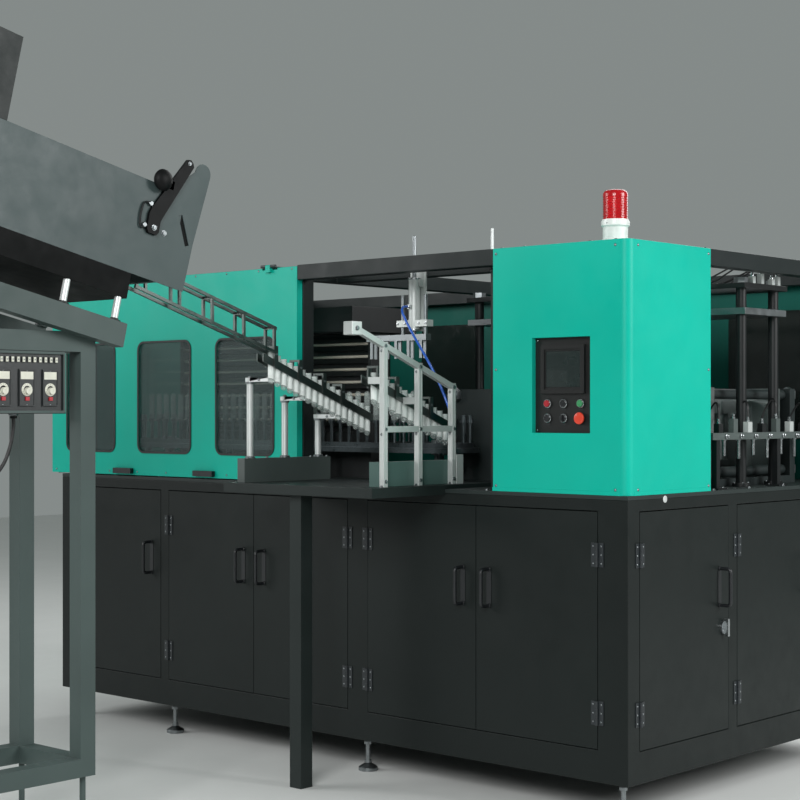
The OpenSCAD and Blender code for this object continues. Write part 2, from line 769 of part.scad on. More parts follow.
module oven_guard() color("#12b5a2") place() {
    third = hinge_l/3;
    difference() {
        union() {
            difference() {
                block([-guard_x-1, 0, guard_z0], [-machine_l, guard_d, guard_z1]);
                block([-guard_x-4, sheet_t+1, guard_z0+3], [3-machine_l, guard_d+1, guard_z1-3]);
            }
            for (x = guard_hinge_x) translate([-x, guard_axis[0], guard_axis[1]]) {
                rod_x(-third/2+0.5, third/2-0.5, 0, 0, knuckle_r);
                block([-third/2+0.5, -knuckle_r, -knuckle_r*4], [third/2-0.5, 0-guard_axis[0]-knuckle_r+6.2, 0]);
            }
        }
        for (i = [-1:1]) window_cut(guard_mid+i*pane_pitch+12, bed_z+window_up, window_w,
            window_h+extra_h, window_r, -1, sheet_t+2);
        for (x = guard_hinge_x) translate([-x, guard_axis[0], guard_axis[1]])
            rod_x(-third, third, 0, 0, pin_r+fit);
        for (x = guard_hinge_x) for (s = [-1, 1]) translate([-x, guard_axis[0], guard_axis[1]])
            block([s*(third/2-0.25), -knuckle_r-1, -knuckle_r-8], [s*third*1.6, beam_y+12, knuckle_r+1]);
    }
    for (i = latch_at) block([-guard_mid-i*pane_pitch-62, -18, guard_z0+6],
        [-guard_mid-i*pane_pitch+62, 0, guard_z0+30]);
}

module guard_windows() color([0.35, 0.45, 0.45, 0.4]) place() for (i = [-1:1])
    window_cut(guard_mid+i*pane_pitch+12, bed_z+window_up-12, window_w+24, window_h+extra_h+24,
        window_r+12, sheet_t+1, sheet_t+1+pane_t);

guard_lip = 30;

module rear_guard() color("#12b5a2") place() difference() {
    union() {
        block([0, machine_w-3, bed_z], [-machine_l, machine_w, machine_h+3]);
        block([-machine_l, beam_y, bed_z], [3-machine_l, machine_w, machine_h+3]);
        // Folded edges on the rear beam and the far one
        block([0, machine_w-guard_lip, machine_h], [-machine_l, machine_w, machine_h+3]);
        block([-machine_l, beam_y, machine_h], [guard_lip-machine_l, machine_w, machine_h+3]);
    }
    for (m = rear_mid) window_cut(m, bed_z+180, rear_window_w, rear_window_h+extra_h, window_r,
        machine_w-5, machine_w+1);
}

module rear_windows() color([0.35, 0.45, 0.45, 0.4]) place() for (m = rear_mid)
    window_cut(m, bed_z+170, rear_window_w+20, rear_window_h+extra_h+20, window_r+10,
        machine_w-3-pane_t, machine_w-3);

// Oven and chain
module oval(r) {
    for (x = [-drive_x, -idle_x]) translate([x, wheel_y]) circle(r);
    translate([-idle_x, wheel_y-r]) square([chain_run, 2*r]);
}

module oven_housing() color("#23282a") place() {
    y0 = wheel_y-55;
    y1 = wheel_y+55;
    block([-bank_x0, y0, bed_z], [-bank_x1, y1, chain_z+60]);
    block([-bank_x0, wheel_y-4, chain_z+60], [-bank_x1, wheel_y+4, hood_z]);
    for (x = [-bank_x0, 20-bank_x1]) block([x, y0, chain_z+60], [x-20, y1, hood_z]);
    difference() {
        block([-guard_x+50, chain_y-60, hood_z], [60-idle_x, chain_y+2*wheel_r+60, hood_z+105]);
        block([-guard_x+46, chain_y-56, hood_z-1], [64-idle_x, y0-10, hood_z+101]);
        block([-guard_x+46, y1+10, hood_z-1], [64-idle_x, chain_y+2*wheel_r+56, hood_z+101]);
    }
    for (i = [0:lamp_count]) block([-bank_x0-20, wheel_y-30, chain_z+84+i*lamp_pitch],
        [20-bank_x1, wheel_y+30, chain_z+86+i*lamp_pitch]);
}

module heater_lamps() color("#e7e2d6") place()
    for (i = [0:lamp_count-1]) for (s = [-1, 1])
        rod_x(-bank_x0-20-seat, seat+20-bank_x1, wheel_y+s*42,
            chain_z+85+(i+0.5)*lamp_pitch, lamp_r);

// Places of the mandrels around the chain, from the drive wheel along the front run
run_count = floor(chain_run/mandrel_pitch);
mandrels = concat(
    [for (i = [0:run_count-1]) [-drive_x-(i+0.5)*chain_run/run_count, chain_y]],
    [for (i = [0:run_count-1]) [-drive_x-(i+0.5)*chain_run/run_count, chain_y+2*wheel_r]],
    [for (i = [0:6]) [-drive_x+wheel_r*cos(-77+i*77/3), wheel_y+wheel_r*sin(-77+i*77/3)]],
    [for (i = [0:6]) [-idle_x-wheel_r*cos(-77+i*77/3), wheel_y+wheel_r*sin(-77+i*77/3)]]);

module chain_track() color("#5b6265") place() {
    difference() {
        translate([0, 0, guide_z]) linear_extrude(guide_t) oval(wheel_r+track_half);
        translate([0, 0, guide_z-1]) linear_extrude(guide_t+2) oval(wheel_r-track_half);
    }
    difference() {
        translate([0, 0, chain_z]) linear_extrude(chain_t) oval(wheel_r+12);
        translate([0, 0, chain_z-1]) linear_extrude(chain_t+2) oval(wheel_r-12);
    }
    for (x = [drive_x, drive_x+chain_run/3, drive_x+2*chain_run/3, idle_x])
        for (y = [chain_y, chain_y+2*wheel_r]) rod_z(-x, y, bed_z, guide_z, 15);
    difference() {
        rod_z(-idle_x, wheel_y, bed_z, bed_z+70, shaft_r+18);
        rod_z(-idle_x, wheel_y, bed_z+5, bed_z+71, shaft_r+fit);
    }
    for (m = mandrels) translate([m.x, m.y, chain_z+chain_t-1]) {
        cylinder(r = 7, h = mandrel_h+1, $fn = 24);
        translate([0, 0, mandrel_h-10]) cylinder(r = 14, h = 11, $fn = 24);
        translate([0, 0, mandrel_h]) cylinder(r = preform_r-preform_t-0.5, h = 22, $fn = 24);
    }
}

module chain_wheel() {
    body_r = wheel_r-22;
    difference() {
        union() {
            translate([0, 0, chain_z+2]) cylinder(r = body_r, h = 14);
            for (a = [0:15:345]) rotate([0, 0, a]) block([body_r-3, -5, chain_z+2],
                [body_r+7, 5, chain_z+16]);
        }
        for (a = [0:60:300]) rotate([0, 0, a]) translate([body_r*0.6, 0, chain_z])
            cylinder(r = 22, h = 20);
    }
    translate([0, 0, chain_z-30]) cylinder(r = shaft_r+12, h = 60);
}

module drive_wheel() color("#8b9092") place() translate([-drive_x, wheel_y, 0]) {
    chain_wheel();
    translate([0, 0, base_top-119]) cylinder(r = shaft_r, h = chain_z+20-base_top+119);
}

module idler_wheel() color("#8b9092") place() translate([-idle_x, wheel_y, 0]) {
    chain_wheel();
    translate([0, 0, bed_z+5+seat]) cylinder(r = shaft_r, h = chain_z+20-bed_z-5-seat);
}

// A preform that stands with its neck's rim at zero and its round end up
module preform() {
    bore = preform_r-preform_t;
    tip = preform_l-preform_r;
    rotate_extrude($fn = 24) {
        difference() {
            union() {
                square([preform_r, tip]);
                square([preform_r+0.8, neck_l]);
                translate([0, neck_l]) square([ring_r, 3]);
                intersection() {
                    translate([0, tip]) circle(preform_r);
                    square([preform_r, preform_l]);
                }
            }
            translate([0, -1]) square([bore, tip+1]);
        }
    }
}

module hanging(x, y, top) translate([x, y, top+3+neck_l]) mirror([0, 0, 1]) preform();

function lane_top(y) = lane_z-y*tan(lane_slope);
function lane2_top(y) = lane2_z-y*tan(lane_slope);
lane_count = floor((lane_back-lane_front-2*ring_r)/lane_pitch);
lane2_count = floor((lane2_back-lane2_front-2*ring_r)/lane_pitch);

module preforms() color([0.85, 0.9, 0.88, 0.8]) place() {
    for (i = [0:run_count-1])
        translate([mandrels[i].x, mandrels[i].y, collar_z]) preform();
    for (i = [0:lane_count-1]) let (y = lane_back-ring_r-i*lane_pitch)
        hanging(-lane_x, y, lane_top(y)+tilt_lift-3);
    for (i = [0:lane2_count-1]) let (y = lane2_back-ring_r-i*lane_pitch)
        hanging(-lane2_x, y, lane2_top(y)+tilt_lift-3);
}

// Infeed table and lanes
module infeed_table() color("#4a5255") place() {
    leg_y = -table_out+40;
    block([-table_x, -table_out, bed_z], [-table_x-table_l, table_in, table_z]);
    for (x = [table_x, table_x+table_l-3])
        block([-x, -table_out, bed_z-skirt_h], [-x-3, -1, bed_z]);
    block([-table_x, -table_out, bed_z-skirt_h], [-table_x-table_l, -table_out+3, bed_z]);
    block([-table_leg_x, leg_y, 0], [-table_leg_x-tube, leg_y+tube, bed_z]);
}

// A flat bar that follows a lane's slope, its top face at the lane's height
module lane_bar(x0, x1, y0, y1, z0, up = 0, h = rail_h) {
    drop = tan(lane_slope);
    translate([min(x0, x1), 0, 0]) rotate([90, 0, 90]) linear_extrude(abs(x1-x0)) polygon([
        [y0, z0-y0*drop+up], [y1, z0-y1*drop+up], [y1, z0-y1*drop+up-h], [y0, z0-y0*drop+up-h]]);
}

// An arch over the necks that ties a lane's two bars
module arch(x, y, top, w = 9) {
    out = slot_half+rail_t;
    over = neck_l+tilt_lift+24;
    for (s = [-1, 1]) block([-x+s*out, y-w, top-rail_h], [-x+s*(out+8), y+w, top+over]);
    block([-x-out-8, y-w, top+over-8], [-x+out+8, y+w, top+over]);
}

chute_drop = tan(17.7);
chute_front = -feed_y-15;
chute_end = lane_top(lane_front)+28;
chute_back = lane_front+60;
// Where a line down the chute meets the feeder's low end plate
plate_pos = [-feed_y-low_end*cos(feed_slope)+0.2, feed_z+low_end*sin(feed_slope)];
function meet(h) = plate_pos.x+sin(feed_slope)*(h-chute_drop*plate_pos.x-plate_pos.y)/
    (cos(feed_slope)+chute_drop*sin(feed_slope));
function chute_point(y, h) = [y, h-chute_drop*y];

module lane_rails() color("#8f9694") place() {
    for (s = [-1, 1]) {
        lane_bar(-lane_x+s*slot_half, -lane_x+s*(slot_half+rail_t), lane_front, lane_back, lane_z);
        lane_bar(-lane2_x+s*slot_half, -lane2_x+s*(slot_half+rail_t), lane2_front, lane2_back,
            lane2_z);
        // Bars of the open chute that leads down from the feeder, on the sides of the lane
        for (up = [0, 92]) let (h = chute_end+lane_front*chute_drop+up)
            translate([-lane_x+s*(slot_half+rail_t)-(s < 0 ? 10 : 0), 0, 0])
                rotate([90, 0, 90]) linear_extrude(10) polygon([chute_point(meet(h), h),
                    chute_point(chute_back, h), chute_point(chute_back, h-12),
                    chute_point(meet(h-12), h-12)]);
    }
    for (y = [-340, -210, -80, 25]) arch(lane_x, y, lane_top(y));
    for (y = [-250, -150, 40]) arch(lane2_x, y, lane2_top(y));
    for (i = [0:4]) {
        y = chute_front+6+i*(lane_front+45-chute_front)/4;
        z = chute_end+(lane_front-y)*chute_drop;
        for (s = [-1, 1]) block([-lane_x+s*(slot_half+rail_t), y-5, z-12],
            [-lane_x+s*(slot_half+rail_t+10), y+5, z+91]);
        block([-lane_x-slot_half-rail_t-10, y-5, z+80],
            [-lane_x+slot_half+rail_t+10, y+5, z+91]);
    }
}

support_y = [-313, -126, 59];

module lane_posts() color("#c6cacb") place() {
    block([-post_x-20, -360, table_z], [-post_x+20, 110, table_z+92]);
    for (y = support_y) {
        top = lane_top(y)-rail_h-26;
        rod_z(-post_x, y, table_z+92, top, support_r);
        block([-post_x-16, y-10, top-16], [-lane_x-slot_half-rail_t-0.2, y+10, top]);
        block([-lane_x-slot_half-rail_t-12, y-10, top-16],
            [-lane_x-slot_half-rail_t-0.2, y+10, lane_top(y)-6]);
    }
}

// The upright bars behind the second lane; a level bar ties them
stand_bars = [-297, -108, 82];
cross_bar_z = 1333;

module rail_stand() color("#aeb4b4") place() {
    block([-stand_x-60, -310, table_z], [-stand_x-bar/2, 100, table_z+90]);
    for (b = stand_bars) {
        block([-stand_x-bar/2, b-bar/2, table_z],
            [-stand_x+bar/2, b+bar/2, lane2_top(b)+96+bar]);
        if (b < 50) block([-stand_x-bar/2, b-6, lane2_top(b)-34],
            [-lane2_x+slot_half+rail_t+0.2, b+6, lane2_top(b)-8]);
    }
    lane_bar(-stand_x-bar/2, -stand_x+bar/2, -480, 96, lane2_z, 92+bar/cos(lane_slope), bar);
    block([-stand_x-bar/2, stand_bars[0], cross_bar_z],
        [-stand_x+bar/2, stand_bars[2], cross_bar_z+bar]);
    // Block at the low end where the air hose goes in
    block([-stand_x-bar/2-17, 96, table_z], [-stand_x+bar/2, 136, table_z+110]);
}

// Loader
module loader_cylinder() color("#b9bec0") place() translate([-loader_x, 0, 0]) difference() {
    union() {
        rod_z(0, loader_y, loader_z0, loader_z1, loader_r);
        block([-40, plate_y, loader_z0], [40, inner_y, machine_h]);
        block([-80, loader_y-16, guide_z0], [80, plate_y, guide_z1]);
        block([-30, loader_y, loader_z1-35], [30, plate_y, loader_z1-5]);
        block([-8, loader_y-loader_r-10, port_z-8], [8, loader_y-loader_r+4, port_z+8]);
    }
    rod_z(0, loader_y, loader_z0-1, loader_z1+1, guide_rod_r+4);
    for (s = [-1, 1]) rod_z(s*guide_dx, loader_y, guide_z0-1, guide_z1+1, guide_rod_r+fit);
}

module loader_gripper() color("#9aa0a2") place() translate([-loader_x, loader_y, 0]) {
    block([gripper_dx-gripper_l/2, -15, gripper_z], [gripper_dx+gripper_l/2, 15, gripper_z+gripper_h]);
    for (s = [-1, 1]) rod_z(s*guide_dx, 0, gripper_z+gripper_h, guide_z1+gripper_travel, guide_rod_r);
    rod_z(0, 0, gripper_z+gripper_h, machine_h+100, guide_rod_r);
    for (i = [-2:2]) let (x = gripper_dx+i*66) for (s = [-1, 1])
        block([x-7, s*9, gripper_z-70], [x+7, s*15, gripper_z]);
}

// Blow clamp
module clamp_frame() color("#5f686b") place() {
    x0 = -clamp_x;
    x1 = -clamp_x-clamp_l;
    difference() {
        union() {
            block([x0, clamp_y, bed_z], [x1, clamp_back, platen_z0]);
            for (y = [clamp_y, clamp_back-fixed_t])
                block([x0, y, platen_z0], [x1, y+fixed_t, platen_z0+platen_h]);
            rod_y(-clamp_mid, clamp_y-190, clamp_y, ram_z, 58);
            rod_y(-clamp_mid, clamp_back, clamp_back+190, ram_z, 58);
        }
        rod_y(-clamp_mid, clamp_y-175, clamp_y+1, ram_z, 40);
        rod_y(-clamp_mid, clamp_back-1, clamp_back+175, ram_z, 40);
        rod_y(-clamp_mid, clamp_y-1, clamp_y+fixed_t+1, ram_z, ram_r+fit);
        rod_y(-clamp_mid, clamp_back-fixed_t-1, clamp_back+1, ram_z, ram_r+fit);
    }
    for (x = tie_x) for (z = tie_z)
        rod_y(-x, clamp_y+fixed_t, clamp_back-fixed_t, z, tie_r);
}

// The front half of the mould with its platen and ram, as open as it goes
module mould_half() {
    face = clamp_centre-mould_open;
    back = face-mould_t;
    difference() {
        union() {
            block([-clamp_x, back-moving_t, platen_z0+5], [-clamp_x-clamp_l, back, platen_z0+platen_h]);
            block([-clamp_mid+mould_l/2, back, mould_z0], [-clamp_mid-mould_l/2, face, mould_z0+mould_h]);
            rod_y(-clamp_mid, clamp_y-160, back-moving_t, ram_z, ram_r);
        }
        for (x = tie_x) for (z = tie_z)
            rod_y(-x, back-moving_t-1, back+1, z, tie_r+fit);
        for (i = [0:cavity_count-1]) {
            x = -clamp_mid+(i-(cavity_count-1)/2)*cavity_pitch;
            rod_z(x, face+mould_gap, mould_z0+25, mould_z0+mould_h-50, cavity_r);
            rod_z(x, face+mould_gap, mould_z0+mould_h-51, mould_z0+mould_h+1, preform_r+1);
        }
    }
}

module mould_half_front() color("#a9afb0") place() mould_half();
module mould_half_rear() color("#a9afb0") place()
    translate([0, 2*clamp_centre, 0]) mirror([0, 1, 0]) mould_half();

module stretch_tower() color("#2b3133") place() {
    for (x = column_x) for (s = [-1, 1]) {
        rod_z(-x, clamp_centre+s*column_dy, bed_z, bridge_z, column_r);
        rod_z(-x, clamp_centre+s*column_dy, bed_z, bed_z+15, column_r+15);
    }
    block([-column_x[0]+40, clamp_centre-160, bridge_z], [-column_x[1]-40, clamp_centre+160,
        bridge_z+20]);
    for (i = [0:cavity_count-1]) {
        x = -clamp_mid+(i-(cavity_count-1)/2)*cavity_pitch;
        rod_z(x, clamp_centre, bridge_z+20, bridge_z+170, 25);
        rod_z(x, clamp_centre, bridge_z+170, bridge_z+182, 17);
    }
}

module stretch_carriage() color("#7c8385") place() difference() {
    union() {
        block([-column_x[0]+38, clamp_centre-column_dy-34, carriage_z],
            [-column_x[1]-38, clamp_centre+column_dy+34, carriage_z+carriage_t]);
        for (i = [0:cavity_count-1]) {
            x = -clamp_mid+(i-(cavity_count-1)/2)*cavity_pitch;
            rod_z(x, clamp_centre, carriage_z-280, carriage_z, rod_r);
            rod_z(x, clamp_centre, carriage_z-12, carriage_z, rod_r+8);
        }
    }
    for (x = column_x) for (s = [-1, 1])
        rod_z(-x, clamp_centre+s*column_dy, carriage_z-1, carriage_z+carriage_t+1, column_r+fit);
}

// Feeder
module side_plate() polygon(concat(
    [[-feed_l, 0], [0, 0], [8, 172], [30, 380]],
    [for (a = [0:20:160]) [34*cos(a), 426+34*sin(a)]],
    [[-36, 420], [-130, feed_h], [-feed_l, feed_h]]));

module feeder_trough() color("#576468") place() {
    rod_z(cable_end.x, cable_end.y, cable_end.z, cable_end.z+16, cable_r+6);
    tilted() trough_body();
}

module trough_body() {
    difference() {
        for (x = [-feed_half, feed_half-feed_t]) translate([x, 0, 0]) rotate([90, 0, 90])
            linear_extrude(feed_t) side_plate();
        translate([feed_half-feed_t-1, -42, 207]) rotate([28, 0, 0])
            block([0, -9, -54], [feed_t+2, 9, 54]);
        rod_x(feed_half-feed_t-1, feed_half+1, lever_pos.x, lever_pos.y, 8+fit);
    }
    // Pan that closes the trough's underside and holds the roller drive
    block([-feed_half, -feed_l, -pan_h], [feed_half, -230, 0]);
    for (y = [-feed_l, -low_end-end_plate]) difference() {
        block([-feed_half+feed_t, y, y < -feed_l/2 ? 0 : end_z0],
            [feed_half-feed_t, y+end_plate, feed_h-20]);
        for (s = [-1, 1]) rod_y(s*roller_dx, y-1, y+end_plate+1, roller_z, shaft_small+fit);
        if (y > -feed_l/2) block([-roller_gap/2-8, y-1, exit_z],
            [roller_gap/2+8, y+end_plate+1, feed_h+1]);
    }
}

module feed_roller(s) color("#9ba1a2") place() tilted() {
    rod_y(s*roller_dx, -feed_l+end_plate+seat, -low_end-end_plate-seat, roller_z, roller_r);
    rod_y(s*roller_dx, -feed_l+1, -low_end, roller_z, shaft_small);
}

module gate_lever() color("#141617") place() tilted() translate([feed_half+0.5, lever_pos.x, lever_pos.y]) {
    rod_x(-feed_t-0.4, 14, 0, 0, 8);
    rotate([90, 0, 90]) linear_extrude(12) {
        polygon([[-20, -22], [16, -22], [24, -10], [24, 30], [126, 256], [120, 268],
            [108, 277], [94, 274], [-22, 64], [-28, 44], [-28, -10]]);
        translate([-6, 150]) square([60, 30]);
    }
    rod_x(4, 46, -6, 166, 38);
}

module feeder_hopper() color("#4f5b5f") place() tilted() difference() {
    block([-feed_half, -feed_l, feed_h], [feed_half, -feed_l+hopper_l, feed_h+hopper_h]);
    block([-feed_half+3, -feed_l+3, feed_h-1], [feed_half-3, -feed_l+hopper_l-3, feed_h+hopper_h+1]);
}

module feeder_stand() color("#6b787b") place() {
    far_x = 2*feed_x-leg_x;
    y1 = -stand_y;
    y2 = -stand_y-stand_l;
    tall = feed_z+(stand_y+stand_l-feed_y)*tan(feed_slope)-pan_h-100;
    for (x = [leg_x, far_x-tube]) {
        block([-x, y1, stand_foot], [-x-tube, y1-tube, stand_z]);
        block([-x, y2, stand_foot], [-x-tube, y2+tube, tall]);
        block([-x, y1-tube, stand_z-tube-6], [-x-tube, y2+tube, stand_z]);
        block([-x, y1-tube, stand_foot], [-x-tube, y2+tube, stand_foot+tube]);
    }
    for (y = [y1-tube, y2]) {
        block([-leg_x-tube, y, stand_foot], [-far_x+tube, y+tube, stand_foot+tube]);
        block([-leg_x-tube, y, stand_z-tube-6], [-far_x+tube, y+tube, stand_z]);
    }
    for (x = [leg_x+tube/2, far_x-tube/2]) for (y = [y1-tube/2, y2+tube/2]) {
        rod_z(-x, y, 8, stand_foot, 10);
        rod_z(-x, y, 0, 10, 30);
    }
    // Inclined rails beside the legs, with the rods that carry the trough
    for (s = [-1, 1]) translate([-feed_x, -feed_y, feed_z]) rotate([-feed_slope, 0, 0]) {
        x = s > 0 ? feed_x-leg_x : -(feed_x-leg_x)-rail_w;
        block([x, -feed_l+60, -beam_drop-rail_d], [x+rail_w, -235, -beam_drop]);
        for (y = [-256, -470, -feed_l+130]) {
            rod_z(s*(feed_half-14), y, -beam_drop, -pan_h, 9);
            rod_z(s*(feed_half-14), y, -beam_drop, -beam_drop+8, 20);
        }
    }
}

module feeder_control_box() color("#15181a") place() {
    top = stand_z-tube-6;
    difference() {
        block([-leg_x, -control_y, top-control_h], [-leg_x-control_d, -control_y-control_l, top]);
        block([-leg_x+1, -control_y-10, top-control_h+10],
            [-leg_x-6, -control_y-control_l+10, top-10]);
    }
    for (i = [0:2]) {
        y = -control_y-control_l/2+(1-i)*knob_pitch;
        difference() {
            block([-leg_x-6, y-30, top-control_h+24], [-leg_x-1, y+30, top-control_h+142]);
            rod_x(-leg_x-7, -leg_x, y, knob_z, 5+fit);
        }
    }
    for (i = [0:11]) block([-leg_x-6, -control_y-30-i*21, top-38], [-leg_x-2, -control_y-42-i*21, top-20]);
    rod_z(cable_start.x, cable_start.y, cable_start.z, top-control_h+1, cable_r+6);
}

module speed_knob(i) color("#d8dad6") place() {
    y = -control_y-control_l/2+(1-i)*knob_pitch;
    rod_x(-leg_x-5.5, -leg_x+2, y, knob_z, 5);
    rod_x(-leg_x-1+seat, -leg_x+13, y, knob_z, 11);
    block([-leg_x+13, y-1.5, knob_z], [-leg_x+14, y+1.5, knob_z+10]);
}

module control_cable() color("#0f1011") place() sweep(cable_route, cable_r);
module air_hose() color("#1c58b8") place() sweep(hose_route, hose_r);

base_frame();
bed_plate();
levelling_feet();
fixed_panels();
hinge_leaves();
front_door(0);  // front_door_1
front_door(1);  // front_door_2
front_door(2);  // front_door_3
front_door(3);  // front_door_4
front_door(4);  // front_door_5
side_door(0);  // side_door_1
side_door(1);  // side_door_2
side_door_lock();
electrical_cabinet();
drive_motor();
control_housing();
hmi_panel();
touch_screen();
stop_button();
reset_button();
start_button();
mode_selector();
jog_button();
emergency_stop();
beacon_base();
beacon_lens();
top_frame();
oven_guard();
guard_windows();
rear_guard();
rear_windows();
oven_housing();
heater_lamps();
chain_track();
drive_wheel();
idler_wheel();
preforms();
infeed_table();
lane_posts();
lane_rails();
rail_stand();
loader_cylinder();
loader_gripper();
clamp_frame();
mould_half_front();
mould_half_rear();
stretch_tower();
stretch_carriage();
feeder_trough();
feeder_stand();
feeder_hopper();
feed_roller(-1);  // feed_roller_1
feed_roller(1);  // feed_roller_2
gate_lever();
feeder_control_box();
speed_knob(0);  // speed_knob_1
speed_knob(1);  // speed_knob_2
speed_knob(2);  // speed_knob_3
control_cable();
air_hose();
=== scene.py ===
import json
import math
import bmesh
import bpy
from mathutils import Matrix, Vector


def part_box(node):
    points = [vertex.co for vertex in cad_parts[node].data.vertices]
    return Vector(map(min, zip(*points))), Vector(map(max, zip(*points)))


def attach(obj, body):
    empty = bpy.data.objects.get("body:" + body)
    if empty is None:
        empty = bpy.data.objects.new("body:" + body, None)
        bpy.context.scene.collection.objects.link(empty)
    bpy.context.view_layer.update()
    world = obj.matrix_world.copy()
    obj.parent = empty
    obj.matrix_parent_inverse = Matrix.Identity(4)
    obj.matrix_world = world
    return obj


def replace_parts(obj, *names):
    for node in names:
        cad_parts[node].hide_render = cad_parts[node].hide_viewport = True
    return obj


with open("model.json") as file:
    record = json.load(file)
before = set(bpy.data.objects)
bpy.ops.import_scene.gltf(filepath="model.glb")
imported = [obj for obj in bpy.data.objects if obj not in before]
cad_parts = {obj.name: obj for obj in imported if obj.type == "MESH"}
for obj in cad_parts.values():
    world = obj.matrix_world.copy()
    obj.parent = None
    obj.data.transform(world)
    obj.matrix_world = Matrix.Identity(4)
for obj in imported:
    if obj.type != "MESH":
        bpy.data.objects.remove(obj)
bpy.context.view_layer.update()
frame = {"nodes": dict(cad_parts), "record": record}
nodes = frame["nodes"]

# The machine's own place: x runs back along the long side from the near corner of the base,
# y to the rear, z up, in millimetres
lowest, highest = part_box("base_frame")
corner = Vector((highest.x, lowest.y, 0))
machine = {"bed": 1120, "top": 2000, "rear": 1700, "end": -3250}
laneSlope = math.radians(21)
highLane, lowLane = 1475, 1428
slope = math.radians(12.7)
feeder = {"x": 1400, "y": 964, "z": 1822, "half": 215, "pan": 88}

# The cable runs from under the control box to under the trough's pan, some way up the slope
glandUp, glandDrop = 930, 11
boxGland = (-1275, -1596, 1387)
panGland = (-1350, -glandUp*math.cos(slope)-feeder["pan"]*math.sin(slope)-feeder["y"],
            feeder["z"]+glandUp*math.sin(slope)-feeder["pan"]*math.cos(slope)-glandDrop)


def place(x, y, z):
    return corner+Vector((x, y, z))*0.001


# The feeder's own place: y down its slope from its low end, z square to it
def tilted(x, y, z):
    return place(x-feeder["x"], y*math.cos(slope)+z*math.sin(slope)-feeder["y"],
                 feeder["z"]-y*math.sin(slope)+z*math.cos(slope))


upward, frontward, rearward, sideward = (0, 0, 1), (0, -1, 0), (0, 1, 0), (1, 0, 0)


# A direction in a place of its own, such as place, tilted or a door's
def along(to, x, y, z):
    return to(x, y, z)-to(0, 0, 0)


def srgb(code):
    values = [int(code[i:i+2], 16)/255 for i in (1, 3, 5)]
    return tuple(v/12.92 if v <= 0.04045 else ((v+0.055)/1.055)**2.4 for v in values)+(1,)


# The camera stands where the photograph was taken from
def makeCamera():
    view = {"place": (3.323, -4.804, 1.414), "turn": 42.3, "lens": 76.6, "up": 0.0125}
    data = bpy.data.cameras.new("camera")
    data.lens = view["lens"]
    data.sensor_width = 36
    data.shift_y = view["up"]
    data.clip_end = 60
    camera = bpy.data.objects.new("camera", data)
    x, y, z = view["place"]
    camera.location = corner+Vector((x, y, z))
    camera.rotation_euler = (math.radians(90), 0, math.radians(view["turn"]))
    bpy.context.scene.collection.objects.link(camera)
    bpy.context.scene.camera = camera


makeCamera()


# Adds a node with its settings, its inputs' values or links, and the stops of a ramp
def addNode(tree, kind, inputs=None, stops=(), **settings):
    node = tree.nodes.new("ShaderNode"+kind)
    for key, value in settings.items():
        setattr(node, key, value)
    for key, value in (inputs or {}).items():
        if isinstance(value, bpy.types.NodeSocket):
            tree.links.new(value, node.inputs[key])
        else:
            node.inputs[key].default_value = value
    for k, (position, color) in enumerate(stops):
        node.color_ramp.elements[k].position = position
        node.color_ramp.elements[k].color = color
    return node


# A pattern of lumps so many millimetres across, drawn out along an axis by stretch
def lumps(tree, size, detail=3, rough=0.5, stretch=(1, 1, 1)):
    where = addNode(tree, "TexCoord").outputs["Object"]
    where = addNode(tree, "Mapping", {"Vector": where, "Scale": stretch}).outputs["Vector"]
    return addNode(tree, "TexNoise", {"Vector": where, "Scale": 1000/size,
                   "Detail": detail, "Roughness": rough}).outputs["Fac"]


def scaled(color, factor):
    return tuple(min(1, c*factor) for c in color[:3])+(1,)


# What all the materials share: a colour that wanders between two tones, a roughness that
# wanders between two values, relief, each with the pattern that it follows in front, and
# constants
def surface(name, code, tones, sheen, relief, constants, span=(0.3, 0.7)):
    material = bpy.data.materials.new(name)
    material.use_nodes = True
    tree = material.node_tree
    tree.nodes.clear()
    shader = addNode(tree, "BsdfPrincipled")
    addNode(tree, "OutputMaterial", {"Surface": shader.outputs["BSDF"]})
    pattern, dark, light = tones
    tone = addNode(tree, "ValToRGB", {"Fac": lumps(tree, *pattern)},
                   [(0.3, scaled(srgb(code), dark)), (0.7, scaled(srgb(code), light))])
    tree.links.new(tone.outputs["Color"], shader.inputs["Base Color"])
    pattern, low, high = sheen
    gloss = addNode(tree, "MapRange", {"Value": lumps(tree, *pattern), "From Min": span[0],
                    "From Max": span[1], "To Min": low, "To Max": high})
    tree.links.new(gloss.outputs["Result"], shader.inputs["Roughness"])
    if relief:
        pattern, strength, distance = relief
        bump = addNode(tree, "Bump", {"Strength": strength, "Distance": distance,
                       "Height": lumps(tree, *pattern)})
        tree.links.new(bump.outputs["Normal"], shader.inputs["Normal"])
    for key, value in constants.items():
        shader.inputs[key].default_value = value
    return material, tree, shader, tone


# Sprayed or powder-coated steel: orange peel of 1 to 2 mm, tone that changes over half a metre,
# and small scuffs a few centimetres long that show up paler
def paint(name, code, rough=0.42, peel=1.6, depth=0.12, change=0.1, dust=0.18, gloss=0.5):
    material, tree, shader, tone = surface(
        name, code, ((420, 4), 1-change, 1+change), ((90, 5, 0.6), rough-0.06, rough+0.08),
        ((peel, 2), depth, 0.0006), {"Specular IOR Level": gloss})
    scuff = addNode(tree, "ValToRGB", {"Fac": lumps(tree, 26, 8, 0.68, (1, 1, 3))},
                    [(0.66, (0, 0, 0, 1)), (0.8, (dust, dust, dust, 1))])
    # Sockets 6 and 7 are the two colours and output 2 is their mix
    worn = addNode(tree, "Mix", {0: scuff.outputs["Color"], 6: tone.outputs["Color"],
                   7: scaled(srgb(code), 1.5)}, data_type="RGBA")
    tree.links.new(worn.outputs[2], shader.inputs["Base Color"])
    return material


